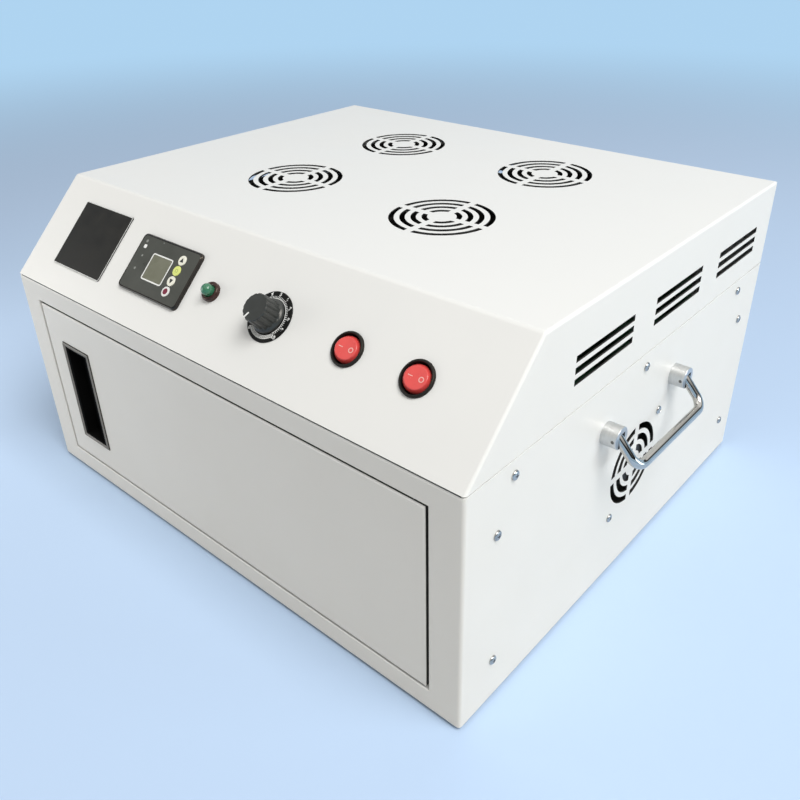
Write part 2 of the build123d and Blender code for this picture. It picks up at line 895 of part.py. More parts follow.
with BuildPart() as handle_posts:
    for side in (-1, 1):
        wall = Plane(origin=(side * half_width, 0, handle_z), x_dir=(0, 1, 0), z_dir=(side, 0, 0))
        with BuildSketch(wall):
            with GridLocations(post_pitch, 0, 2, 1):
                Circle(post_radius)
        extrude(amount=post_length)
    slots = [
        bail_plane(side, angle, end * post_pitch / 2)
        for side in (-1, 1)
        for angle in (bail_rest_angle, bail_level_angle)
        for end in (-1, 1)
    ]
    with BuildSketch(*slots):
        with Locations(((slot_reach - handle_slot) / 2, 0)):
            Rectangle(slot_reach + handle_slot, 2 * slot_half)
    extrude(amount=slot_half, both=True, mode=Mode.SUBTRACT)
save(handle_posts.part, "handle_posts")

with BuildPart() as handle_pins:
    pin_spots = [
        bail_plane(side, bail_rest_angle, end * post_pitch / 2) for side in (-1, 1) for end in (-1, 1)
    ]
    with BuildSketch(*pin_spots):
        RegularPolygon(bail_pin_radius, hidden_sides)
    extrude(amount=slot_half, both=True)
save(handle_pins.part, "handle_pins")


def handle_bail(side):
    """Bail of bent rod with cross-drilled ends, resting on its stop."""
    across = bail_plane(side, bail_rest_angle)
    along = Plane(origin=across.origin, x_dir=(0, 1, 0), z_dir=across.y_dir)
    half = post_pitch / 2
    with BuildPart() as bail:
        with BuildLine(along) as path:
            FilletPolyline(
                (-half, -bail_rod_radius),
                (-half, bail_arm),
                (half, bail_arm),
                (half, -bail_rod_radius),
                radius=bail_bend,
            )
        with BuildSketch(Plane(origin=path.line @ 0, z_dir=path.line % 0)):
            RegularPolygon(bail_rod_radius, bail_rod_sides, rotation=180 / bail_rod_sides)
        sweep()
        with BuildSketch(across):
            Circle(bail_pin_radius + pin_play)
        extrude(amount=post_pitch, both=True, mode=Mode.SUBTRACT)
    return bail.part


for side, name in ((1, "right"), (-1, "left")):
    save(handle_bail(side), f"handle_bail_{name}")


# Rubber feet
with BuildPart() as feet:
    with BuildSketch(level(floor_z)):
        with GridLocations(cabinet_width - 2 * foot_inset, cabinet_depth - 2 * foot_inset, 2, 2):
            RegularPolygon(foot_radius, small_sides)
    extrude(amount=-foot_height)
save(feet.part, "feet")

# Blank rating plate on the slope
with BuildPart() as blank_plate:
    with BuildSketch(on_slope(plate_from_left, plate_down)):
        Rectangle(plate_width, plate_height)
    extrude(amount=plate_thickness)
save(blank_plate.part, "blank_plate")

# Timer: bezel, window, four keys and the case behind them
timer_spot = on_slope(timer_from_left, controls_down)
key_spots = [
    (key_offset, (key_count - 1) * key_pitch / 2 - row * key_pitch) for row in range(key_count)
]
inner_timer_width = timer_width - 2 * timer_case_inset
inner_timer_height = timer_height - 2 * timer_case_inset
with BuildPart() as timer_bezel:
    with BuildSketch(timer_spot):
        RectangleRounded(timer_width, timer_height, timer_corner)
    extrude(amount=timer_proud)
    timer_front = timer_bezel.faces().filter_by(slope).sort_by(Axis.Z)[-1]
    chamfer(timer_front.edges(), timer_bevel)
    with BuildSketch(timer_spot):
        Rectangle(inner_timer_width, inner_timer_height)
    extrude(amount=timer_proud - timer_face, mode=Mode.SUBTRACT)
    with BuildSketch(timer_spot):
        with Locations((timer_window_offset, 0)):
            Rectangle(timer_window_width, timer_window_height)
        with Locations(*key_spots):
            RegularPolygon(key_radius + key_play, small_sides)
    extrude(amount=timer_proud, mode=Mode.SUBTRACT)
save(timer_bezel.part, "timer_bezel")

with BuildPart() as timer_window:
    with BuildSketch(timer_spot.offset(timer_proud - timer_face)):
        with Locations((timer_window_offset, 0)):
            Rectangle(timer_window_width, timer_window_height)
    extrude(amount=timer_face)
save(timer_window.part, "timer_window")

with BuildPart() as timer_case:
    with BuildSketch(timer_spot.offset(timer_case_rise)):
        Rectangle(inner_timer_width - 2 * timer_case_play, inner_timer_height - 2 * timer_case_play)
    extrude(amount=-timer_case_depth)
save(timer_case.part, "timer_case")

key_names = ("up", "mode", "down", "set")
key_top = timer_proud + key_rise
key_bottom = timer_case_rise + key_travel + key_play
for name, spot in zip(key_names, key_spots):
    with BuildPart() as key:
        with BuildSketch(timer_spot.offset(key_bottom)):
            with Locations(spot):
                RegularPolygon(key_radius, small_sides)
        extrude(amount=key_top - key_bottom)
    save(key.part, f"timer_key_{name}")

# Start button: ringed body and a domed cap
button_spot = on_slope(button_from_left, controls_down)
button_bore = button_cap_radius + running_gap
with BuildPart() as start_button_body:
    with BuildSketch(button_spot):
        RegularPolygon(button_ring_radius, small_sides)
    extrude(amount=button_ring_height)
    with BuildSketch(button_spot):
        RegularPolygon(button_barrel_radius, hidden_sides)
    extrude(amount=-button_barrel_length)
    well = button_cap_depth + button_travel + running_gap
    with BuildSketch(button_spot.offset(-well)):
        RegularPolygon(button_bore, small_sides)
    extrude(amount=well + button_ring_height, mode=Mode.SUBTRACT)
save(start_button_body.part, "start_button_body")

with BuildPart() as start_button_cap:
    with BuildSketch(button_spot.offset(-button_cap_depth)):
        RegularPolygon(button_cap_radius, small_sides)
    extrude(amount=button_cap_depth + button_cap_rise)
    cap_rim = start_button_cap.faces().filter_by(slope).sort_by(Axis.Z)[-1].edges()
    chamfer(cap_rim, button_cap_bevel)
save(start_button_cap.part, "start_button_cap")

# Dial plate, potentiometer and knob
dial_spot = on_slope(dial_from_left, controls_down)
with BuildPart() as dial_plate:
    with BuildSketch(dial_spot):
        Circle(dial_radius)
        RegularPolygon(pot_bush_radius, hidden_sides, mode=Mode.SUBTRACT)
    extrude(amount=dial_thickness)
save(dial_plate.part, "dial_plate")

with BuildPart() as potentiometer:
    with BuildSketch(dial_spot.offset(-sheet)):
        Rectangle(pot_case_width, pot_case_width)
    extrude(amount=-pot_case_depth)
    with BuildSketch(dial_spot.offset(-sheet)):
        RegularPolygon(pot_bush_radius, hidden_sides)
    extrude(amount=sheet)
    with BuildSketch(dial_spot.offset(-sheet - pot_bore_depth)):
        Circle(pot_shaft_radius + pin_play)
    extrude(amount=sheet + pot_bore_depth, mode=Mode.SUBTRACT)
save(potentiometer.part, "potentiometer")

with BuildPart() as potentiometer_shaft:
    shaft_bottom = sheet + pot_bore_depth - running_gap
    with BuildSketch(dial_spot.offset(-shaft_bottom)):
        Circle(pot_shaft_radius)
    extrude(amount=shaft_bottom + pot_shaft_top)
save(potentiometer_shaft.part, "potentiometer_shaft")

knob_length = knob_height - knob_bottom
knob_step_in = (knob_base_radius - knob_top_radius) * math.cos(math.pi / knob_sides)
with BuildPart() as dial_knob:
    with BuildSketch(dial_spot.offset(knob_bottom)):
        RegularPolygon(knob_base_radius, knob_sides)
    extrude(amount=knob_length, taper=math.degrees(math.atan2(knob_step_in, knob_length)))
    knob_face = dial_knob.faces().filter_by(slope).sort_by(Axis.Z)[-1]
    chamfer(knob_face.edges(), knob_bevel)
    with BuildSketch(dial_spot.offset(knob_bottom)):
        Circle(pot_shaft_radius)
    extrude(amount=pot_shaft_top - knob_bottom, mode=Mode.SUBTRACT)
save(dial_knob.part, "dial_knob")


# Rocker switches: round snap-in bodies with see-saw rockers, off at rest
def switch_body(spot):
    """Bezel and barrel with a bored well and two bearing slots."""
    with BuildPart() as body:
        with BuildSketch(spot):
            RegularPolygon(switch_bezel_radius, small_sides)
        extrude(amount=switch_bezel_height)
        rim = body.faces().filter_by(slope).sort_by(Axis.Z)[-1].edges()
        chamfer(rim, switch_bezel_bevel)
        with BuildSketch(spot):
            RegularPolygon(switch_barrel_radius, small_sides)
        extrude(amount=-switch_barrel_depth)
        with BuildSketch(spot.offset(-switch_well_depth)):
            RegularPolygon(switch_bore_radius, small_sides)
        extrude(amount=switch_well_depth + switch_bezel_height, mode=Mode.SUBTRACT)
        across = Plane(origin=spot.origin, x_dir=spot.x_dir, z_dir=spot.y_dir)
        with BuildSketch(across):
            Rectangle(2 * (trunnion_radius + pin_play), 2 * (trunnion_radius + pin_play))
        extrude(amount=switch_bore_radius + trunnion_reach, both=True, mode=Mode.SUBTRACT)
    return body.part


def switch_rocker(spot):
    """Round rocker with a valley across its face, tipped to its off side."""
    tip = math.radians(rocker_throw / 2)
    tipped = Plane(
        origin=spot.origin,
        x_dir=spot.x_dir * math.cos(tip) - spot.z_dir * math.sin(tip),
        z_dir=spot.x_dir * math.sin(tip) + spot.z_dir * math.cos(tip),
    )
    across = Plane(origin=tipped.origin, x_dir=tipped.x_dir, z_dir=-tipped.y_dir)
    rise = rocker_radius * math.tan(math.radians(rocker_valley))
    with BuildPart() as rocker:
        with BuildSketch(across):
            with BuildLine():
                Polyline(
                    (-rocker_radius, -rocker_bottom),
                    (rocker_radius, -rocker_bottom),
                    (rocker_radius, rocker_middle + rise),
                    (0, rocker_middle),
                    (-rocker_radius, rocker_middle + rise),
                    close=True,
                )
            make_face()
        extrude(amount=rocker_radius, both=True)
        with BuildSketch(tipped.offset(-rocker_bottom)):
            RegularPolygon(rocker_radius, small_sides)
        extrude(amount=2 * rocker_radius, mode=Mode.INTERSECT)
        with BuildSketch(across):
            Circle(trunnion_radius)
        extrude(amount=switch_bore_radius + trunnion_reach - trunnion_end_play, both=True)
    return rocker.part


for number in (1, 2):
    switch_spot = on_slope(switch_from_left + (number - 1) * switch_pitch, controls_down)
    save(switch_body(switch_spot), f"switch_body_{number}")
    save(switch_rocker(switch_spot), f"switch_rocker_{number}")

# Mains inlet: flange, shrouded socket and three pins
with BuildPart() as power_inlet:
    inlet_plane = Plane(origin=(inlet_x, rear_y, inlet_z), x_dir=(-1, 0, 0), z_dir=(0, 1, 0))
    with BuildSketch(inlet_plane):
        Rectangle(inlet_flange_width, inlet_flange_height)
    extrude(amount=inlet_flange)
    with BuildSketch(inlet_plane):
        Rectangle(inlet_socket_width + 2 * inlet_wall, inlet_socket_height + 2 * inlet_wall)
    extrude(amount=-inlet_socket_depth)
    with BuildSketch(inlet_plane.offset(inlet_wall - inlet_socket_depth)) as socket:
        Rectangle(inlet_socket_width, inlet_socket_height)
        chamfer(socket.vertices().group_by(Axis.Y)[-1], inlet_corner)
    extrude(amount=inlet_socket_depth + inlet_flange, mode=Mode.SUBTRACT)
    with BuildSketch(inlet_plane.offset(inlet_wall - inlet_socket_depth)):
        with Locations((-inlet_pin_pitch, -inlet_pin_rise), (inlet_pin_pitch, -inlet_pin_rise)):
            Rectangle(inlet_pin_width, inlet_pin_height)
        with Locations((0, inlet_pin_rise)):
            Rectangle(inlet_pin_width, inlet_pin_height)
    extrude(amount=inlet_pin_length)
save(power_inlet.part, "power_inlet")
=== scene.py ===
"""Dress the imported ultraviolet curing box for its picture, piece by piece as it is put together."""
import math

import bmesh
import bpy
from mathutils import Matrix, Vector


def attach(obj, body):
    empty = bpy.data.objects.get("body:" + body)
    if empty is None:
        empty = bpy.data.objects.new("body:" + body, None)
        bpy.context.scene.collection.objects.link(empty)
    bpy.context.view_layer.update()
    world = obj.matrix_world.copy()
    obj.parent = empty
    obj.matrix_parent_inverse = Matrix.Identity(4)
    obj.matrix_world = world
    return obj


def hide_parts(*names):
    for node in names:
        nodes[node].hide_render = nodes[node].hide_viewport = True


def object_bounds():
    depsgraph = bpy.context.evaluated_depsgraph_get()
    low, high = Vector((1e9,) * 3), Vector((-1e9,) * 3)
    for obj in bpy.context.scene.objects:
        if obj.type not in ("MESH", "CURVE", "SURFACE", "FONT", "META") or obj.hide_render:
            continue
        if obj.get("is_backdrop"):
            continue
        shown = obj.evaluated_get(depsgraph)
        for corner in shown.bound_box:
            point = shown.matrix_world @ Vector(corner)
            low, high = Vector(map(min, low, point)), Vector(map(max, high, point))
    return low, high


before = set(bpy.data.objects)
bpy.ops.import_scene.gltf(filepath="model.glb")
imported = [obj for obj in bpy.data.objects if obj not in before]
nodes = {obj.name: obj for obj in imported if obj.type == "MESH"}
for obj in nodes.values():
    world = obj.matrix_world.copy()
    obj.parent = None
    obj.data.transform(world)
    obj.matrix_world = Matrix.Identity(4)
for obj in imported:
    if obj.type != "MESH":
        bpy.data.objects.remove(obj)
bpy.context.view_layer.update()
scene = bpy.context.scene

# Studio. The cabinet stands on a pale blue table that runs out to a pale blue background.
# A wide lamp over its right shoulder and a small cool one low on that side make the top and
# the right side bright, and a weak one lifts the left end of the shaded front.
LAMPS = {
    "above": {"at": (1.62, -0.35, 2.80), "watts": 84.0, "size": 1.6, "colour": (1.0, 0.99, 0.97)},
    "right": {"at": (1.75, 0.75, 0.45), "watts": 6.6, "size": 0.6, "colour": (0.82, 0.93, 1.0)},
    "left": {"at": (-0.55, -0.50, 0.25), "watts": 0.9, "size": 0.3, "colour": (1.0, 0.96, 0.90)},
}
ROOM_LIGHT = 0.37
TABLE_SEEN = (0.50, 0.64, 0.84, 1)
TABLE_BOUNCE = (0.54, 0.52, 0.48, 1)
DISTANCE_SEEN = (0.43, 0.66, 0.88, 1)
ROOM_SEEN = (
    (0.0, DISTANCE_SEEN), (0.28, (0.55, 0.74, 0.92, 1)), (0.34, (0.02, 0.02, 0.02, 1)),
    (0.48, (0.02, 0.02, 0.02, 1)), (0.53, (0.45, 0.45, 0.44, 1)), (0.64, (1.0, 0.99, 0.97, 1)),
)
TABLE_FADES = (0.9, 2.6)
TABLE_WIDTH = 12.0
LAMPS_AIM = (0, 0, 0.1)


def add_node(tree, kind, inputs=None, **settings):
    """One node with its settings, and its inputs given as values or linked sockets."""
    node = tree.nodes.new(kind)
    for key, value in settings.items():
        setattr(node, key, value)
    for key, value in (inputs or {}).items():
        if isinstance(value, bpy.types.NodeSocket):
            tree.links.new(value, node.inputs[key])
        else:
            node.inputs[key].default_value = value
    return node


def seen_directly(tree):
    """Mask of camera, mirror and glass rays, for which the background shows its own colour."""
    path = add_node(tree, "ShaderNodeLightPath")
    mask = path.outputs["Is Camera Ray"]
    for ray in ("Is Glossy Ray", "Is Transmission Ray"):
        both = add_node(tree, "ShaderNodeMath", {0: mask, 1: path.outputs[ray]}, operation="MAXIMUM")
        mask = both.outputs[0]
    return mask


scene.view_settings.view_transform = "Standard"
world = bpy.data.worlds.new("studio_room")
scene.world = world
world.use_nodes = True
tree = world.node_tree
tree.nodes.clear()
direction = add_node(tree, "ShaderNodeTexCoord").outputs["Generated"]
height = add_node(tree, "ShaderNodeSeparateXYZ", {0: direction}).outputs["Z"]
sky = add_node(tree, "ShaderNodeValToRGB", {0: height})
sky.color_ramp.interpolation = "EASE"
for i, (level, colour) in enumerate(ROOM_SEEN):
    stop = sky.color_ramp.elements[i] if i < 2 else sky.color_ramp.elements.new(level)
    stop.position, stop.color = level, colour
shown = add_node(tree, "ShaderNodeBackground", {"Color": sky.outputs[0], "Strength": 1.0})
lit = add_node(tree, "ShaderNodeBackground", {"Color": (1, 1, 1, 1), "Strength": ROOM_LIGHT})
mixed = {0: seen_directly(tree), 1: lit.outputs[0], 2: shown.outputs[0]}
both = add_node(tree, "ShaderNodeMixShader", mixed)
add_node(tree, "ShaderNodeOutputWorld", {"Surface": both.outputs[0]})

table = bpy.data.materials.new("studio_table")
table.use_nodes = True
tree = table.node_tree
tree.nodes.clear()
tints = {"Factor": seen_directly(tree), 6: TABLE_BOUNCE, 7: TABLE_SEEN}
tint = add_node(tree, "ShaderNodeMix", tints, data_type="RGBA")
matt = add_node(tree, "ShaderNodeBsdfDiffuse", {"Color": tint.outputs[2]})
spot = add_node(tree, "ShaderNodeTexCoord").outputs["Object"]
away = add_node(tree, "ShaderNodeVectorMath", {0: spot}, operation="LENGTH").outputs["Value"]
ramp = {"Value": away, "From Min": TABLE_FADES[0], "From Max": TABLE_FADES[1]}
fade = add_node(tree, "ShaderNodeMapRange", ramp, interpolation_type="SMOOTHSTEP")
shares = {0: fade.outputs["Result"], 1: seen_directly(tree)}
far = add_node(tree, "ShaderNodeMath", shares, operation="MULTIPLY")
glow = add_node(tree, "ShaderNodeEmission", {"Color": DISTANCE_SEEN, "Strength": 1.0})
both = add_node(tree, "ShaderNodeMixShader", {0: far.outputs[0], 1: matt.outputs[0], 2: glow.outputs[0]})
add_node(tree, "ShaderNodeOutputMaterial", {"Surface": both.outputs[0]})
bpy.ops.mesh.primitive_plane_add(size=TABLE_WIDTH)
floor = bpy.context.object
floor.name = "studio_floor"
floor.data.materials.append(table)
floor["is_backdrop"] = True

for name, facts in LAMPS.items():
    lamp = bpy.data.objects.new(f"studio_lamp_{name}", bpy.data.lights.new(f"studio_lamp_{name}", "AREA"))
    lamp.data.energy, lamp.data.size, lamp.data.color = facts["watts"], facts["size"], facts["colour"]
    lamp.location = facts["at"]
    lamp.rotation_euler = (Vector(LAMPS_AIM) - lamp.location).to_track_quat("-Z", "Y").to_euler()
    scene.collection.objects.link(lamp)

# Camera. It stands where the photograph was taken from, in front of the right corner and
# looking down. Its place and lens were solved from nine corners of the cabinet.
CAMERA_AT = (0.42376, -0.46234, 0.44154)
CAMERA_TURNED = (60.23887, 0.74151, 40.58428)
LENS, LENS_SHIFT = 36.905, (-0.014314, -0.037278)

camera = bpy.data.objects.new("camera", bpy.data.cameras.new("camera"))
camera.location = CAMERA_AT
camera.rotation_euler = [math.radians(a) for a in CAMERA_TURNED]
camera.data.lens = LENS
camera.data.shift_x, camera.data.shift_y = LENS_SHIFT
camera.data.clip_start = 0.01
scene.collection.objects.link(camera)
scene.camera = camera

# Cabinet hood. One sheet of 1.2 mm steel is folded into the top, the slope and the upper
# sides, punched with ring-slotted grilles and rows of vents, and powder-coated white.
MM = 0.001
IN_METRES = Matrix.Scale(MM, 4)
HALF_WIDTH, FRONT, REAR = 230.0, -200.0, 198.8
SEAM, TOP, SHEET = 181.0, 248.0, 1.2
SLOPE_TOP = -133.0
HOOD_BEND = 2.0
TOP_GRILLES = [(x, y) for y in (-27.2, 106.2) for x in (-76.0, 76.0)]
VENTS_AT = (36.75, TOP - 39.0)
CONTROLS_DOWN = 48.2
TIMER_AT, BUTTON_AT, DIAL_AT, ROCKERS_AT = 161.3, 219.7, 279.0, (347.8, 401.3)
CONTROL_HOLES = ((BUTTON_AT, 6.1), (DIAL_AT, 4.5), (ROCKERS_AT[0], 10.7), (ROCKERS_AT[1], 10.7))
TIMER_HOLE = (33.1, 20.4)
THROUGH = (-4, 4)
REAR_FOLD, LAP_ENDS, LAP_BELOW, LAP_ABOVE = 13.2, 24, 20, 9


def texture_group():
    """Shader group for slow changes of colour and gloss and for a fine grain, in true sizes."""
    group = bpy.data.node_groups.new("surface_texture", "ShaderNodeTree")
    colour, value, vector = "NodeSocketColor", "NodeSocketFloat", "NodeSocketVector"
    sockets = {
        "Colour": colour, "Second Colour": colour, "Patch Size": value, "Roughness Low": value,
        "Roughness High": value, "Grain Size": value, "Grain Height": value, "Stretch": vector,
    }
    for name, kind in sockets.items():
        group.interface.new_socket(name, in_out="INPUT", socket_type=kind)
    for name, kind in (("Colour", colour), ("Roughness", value), ("Normal", vector)):
        group.interface.new_socket(name, in_out="OUTPUT", socket_type=kind)
    given = group.nodes.new("NodeGroupInput").outputs
    place = add_node(group, "ShaderNodeTexCoord").outputs["Object"]
    stretched = {0: place, 1: given["Stretch"]}
    place = add_node(group, "ShaderNodeVectorMath", stretched, operation="MULTIPLY").outputs[0]

    def noise(size, detail):
        per_metre = add_node(group, "ShaderNodeMath", {0: 1.0, 1: size}, operation="DIVIDE")
        inputs = {"Vector": place, "Scale": per_metre.outputs[0], "Detail": detail}
        return add_node(group, "ShaderNodeTexNoise", inputs).outputs[0]

    spread = {"Value": noise(given["Patch Size"], 3.0), "From Min": 0.3, "From Max": 0.7}
    patches = add_node(group, "ShaderNodeMapRange", spread).outputs["Result"]
    grain = noise(given["Grain Size"], 2.0)
    shades = {"Factor": patches, 6: given["Colour"], 7: given["Second Colour"]}
    mixed = add_node(group, "ShaderNodeMix", shades, data_type="RGBA")
    limits = {"Value": patches, "To Min": given["Roughness Low"], "To Max": given["Roughness High"]}
    gloss = add_node(group, "ShaderNodeMapRange", limits)
    relief = {"Height": grain, "Distance": given["Grain Height"], "Strength": 1.0}
    bump = add_node(group, "ShaderNodeBump", relief)
    results = {"Colour": mixed.outputs[2], "Roughness": gloss.outputs["Result"], "Normal": bump.outputs[0]}
    add_node(group, "NodeGroupOutput", results)
    return group


surface_texture = texture_group()


def finish(name, colour, second, rough, patch=30.0, grain=(1.0, 0.01), stretch=(1, 1, 1), **constants):
    """Material with the surface texture's own values (millimetres) and constant shader sockets."""
    material = bpy.data.materials.new(name)
    material.use_nodes = True
    tree = material.node_tree
    tree.nodes.clear()
    values = {
        "Colour": (*colour, 1), "Second Colour": (*second, 1), "Patch Size": patch * MM,
        "Roughness Low": rough[0], "Roughness High": rough[1],
        "Grain Size": grain[0] * MM, "Grain Height": grain[1] * MM, "Stretch": stretch,
    }
    texture = add_node(tree, "ShaderNodeGroup", values, node_tree=surface_texture).outputs
    sockets = {key.replace("_", " "): value for key, value in constants.items()}
    sockets["Base Color"] = texture["Colour"]
    sockets["Roughness"] = texture["Roughness"]
    sockets["Normal"] = texture["Normal"]
    shader = add_node(tree, "ShaderNodeBsdfPrincipled", sockets)
    add_node(tree, "ShaderNodeOutputMaterial", {"Surface": shader.outputs[0]})
    return material


def settle(piece):
    """Replace an object's mesh by the mesh that its modifiers give, and drop them."""
    bpy.context.view_layer.update()
    graph = bpy.context.evaluated_depsgraph_get()
    seen = piece.evaluated_get(graph)
    mesh = bpy.data.meshes.new_from_object(seen, preserve_all_data_layers=True, depsgraph=graph)
    piece.modifiers.clear()
    piece.data = mesh
    return piece


def link(name, mesh):
    """New object at the origin that shows a mesh."""
    piece = bpy.data.objects.new(name, mesh)
    scene.collection.objects.link(piece)
    return piece


def make(name, bm, material, place=IN_METRES):
    """Object from a mesh drawn in millimetres, put in its place, with faces outward."""
    bmesh.ops.remove_doubles(bm, verts=bm.verts, dist=1e-4)
    bmesh.ops.recalc_face_normals(bm, faces=bm.faces)
    bm.transform(place)
    mesh = bpy.data.meshes.new(name)
    bm.to_mesh(mesh)
    bm.free()
    mesh.materials.append(material)
    return link(name, mesh)


def smooth(piece, angle=32.0):
    """Shade round parts smoothly, and keep flats flat and edges sharp."""
    mesh = piece.data
    mesh.shade_smooth()
    mesh.set_sharp_from_angle(angle=math.radians(angle))
    step = piece.modifiers.new("flats", "WEIGHTED_NORMAL")
    step.keep_sharp = True
    return settle(piece)


def boolean(piece, tool, operation="DIFFERENCE"):
    """Cut a piece with a tool, whose finish the cut faces take, or join the two; the tool goes."""
    step = piece.modifiers.new("cut", "BOOLEAN")
    step.operation, step.solver, step.object = operation, "EXACT", tool
    step.material_mode = "TRANSFER"
    settle(piece)
    bpy.data.objects.remove(tool)
    return piece


def dress(piece, body, slot, *replaced):
    """Hang a finished piece on the empty of its body and hide the CAD nodes that it stands for; the slot is
    not used.
    """
    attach(piece, body)
    if replaced:
        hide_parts(*replaced)
    return piece


def loft(bm, rings, closed=False):
    """Skin over rings of points; the ends are capped, or joined to each other."""
    loops = [[bm.verts.new(point) for point in ring] for ring in rings]
    pairs = list(zip(loops, loops[1:])) + ([(loops[-1], loops[0])] if closed else [])
    for low, high in pairs:
        for i, point in enumerate(low):
            j = (i + 1) % len(low)
            bm.faces.new((point, low[j], high[j], high[i]))
    if not closed:
        bm.faces.new(loops[0])
        bm.faces.new(loops[-1])


def round_edges(bm, wanted, radius, segments=5):
    """Round the edges whose middle meets a condition."""
    edges = [edge for edge in bm.edges if wanted((edge.verts[0].co + edge.verts[1].co) / 2)]
    bmesh.ops.bevel(bm, geom=edges, offset=radius, segments=segments, profile=0.5, affect="EDGES")


def block(bm, low, high):
    """Square-edged block between two corners."""
    middle = (Vector(high) + Vector(low)) / 2
    size = Vector(high) - Vector(low)
    bmesh.ops.create_cube(bm, size=1, matrix=Matrix.Translation(middle) @ Matrix.Diagonal((*size, 1)))


def lofted(name, rings, material, place=IN_METRES, closed=False):
    """Object that is a skin over rings of points."""
    bm = bmesh.new()
    loft(bm, rings, closed)
    return make(name, bm, material, place)


def bent(name, profile, half_width, wanted, bend):
    """White solid between two upright sides, from its outline as (Y, Z), with rounded bends."""
    bm = bmesh.new()
    loft(bm, [[(x, y, z) for y, z in profile] for x in (-half_width, half_width)])
    round_edges(bm, wanted, bend)
    return make(name, bm, white_paint)


def boxed(name, material, blocks, place=IN_METRES, wanted=None, bend=0.0):
    """Object of blocks, each from one corner to another, with the wanted edges rounded."""
    bm = bmesh.new()
    for low, high in blocks:
        block(bm, low, high)
    if wanted:
        round_edges(bm, wanted, bend)
    return make(name, bm, material, place)


def placed(origin, x_axis, z_axis):
    """Matrix that puts a drawing in millimetres at a spot of the cabinet, in metres."""
    x_axis, z_axis = Vector(x_axis).normalized(), Vector(z_axis).normalized()
    turn = Matrix((x_axis, z_axis.cross(x_axis), z_axis)).transposed().to_4x4()
    return IN_METRES @ Matrix.Translation(Vector(origin)) @ turn


def facing_out(side, x, y, z):
    """Place on an upright side of the cabinet, with x along it and z out of it."""
    return placed((x, y, z), (0, side, 0), (side, 0, 0))


def on_slope(from_left, down=CONTROLS_DOWN):
    """Place on the sloping panel, with x to the right, y up the slope and z out of it."""
    half = math.sqrt(0.5)
    spot = (from_left - HALF_WIDTH, SLOPE_TOP - down * half, TOP - down * half)
    return placed(spot, (1, 0, 0), (0, -half, half))


def circle(radius, z=0.0, steps=48):
    """Ring of points around a circle."""
    turns = [2 * math.pi * i / steps for i in range(steps)]
    return [(radius * math.cos(a), radius * math.sin(a), z) for a in turns]


def node_tree(name, inputs):
    """Geometry Nodes tree with named inputs, given as name: (kind, default), and a material."""
    tree = bpy.data.node_groups.new(name, "GeometryNodeTree")
    tree.interface.new_socket("Geometry", in_out="INPUT", socket_type="NodeSocketGeometry")
    for key, (kind, default) in {**inputs, "Material": ("Material", None)}.items():
        socket = tree.interface.new_socket(key, in_out="INPUT", socket_type="NodeSocket" + kind)
        if default is not None:
            socket.default_value = default
    tree.interface.new_socket("Geometry", in_out="OUTPUT", socket_type="NodeSocketGeometry")
    return tree, tree.nodes.new("NodeGroupInput").outputs


def end_tree(tree, given, geometry):
    """Close a tree with real geometry in its material."""
    real = add_node(tree, "GeometryNodeRealizeInstances", {0: geometry}).outputs[0]
    dressed = add_node(tree, "GeometryNodeSetMaterial", {0: real, "Material": given["Material"]})
    add_node(tree, "NodeGroupOutput", {0: dressed.outputs[0]})
    return tree


def grown(name, tree, place=IN_METRES, start=None, **sizes):
    """Plain mesh object that a Geometry Nodes tree makes, put in its place."""
    piece = link(name, start or bpy.data.meshes.new(name))
    step = piece.modifiers.new(name, "NODES")
    step.node_group = tree
    for item in tree.interface.items_tree:
        key = item.name.replace(" ", "_")
        if item.in_out == "INPUT" and key in sizes:
            step[item.identifier] = sizes[key]
    settle(piece)
    piece.data.transform(place)
    return piece


def calculate(tree, operation, *values):
    """Result socket of a sum in a tree."""
    return add_node(tree, "ShaderNodeMath", dict(enumerate(values)), operation=operation).outputs[0]


def vector(tree, x, y, z):
    """Vector socket in a tree from three values or sockets."""
    return add_node(tree, "ShaderNodeCombineXYZ", {0: x, 1: y, 2: z}).outputs[0]


def numbered(tree, count):
    """Points in a tree that are all in one spot, and the index that tells them apart."""
    points = add_node(tree, "GeometryNodeMeshLine", {"Count": count, "Offset": (0, 0, 0)})
    return points.outputs[0], add_node(tree, "GeometryNodeInputIndex").outputs[0]


def copies(tree, points, instance, **inputs):
    """One copy of a geometry on every point of a tree."""
    inputs = {"Points": points, "Instance": instance, **inputs}
    return add_node(tree, "GeometryNodeInstanceOnPoints", inputs).outputs[0]


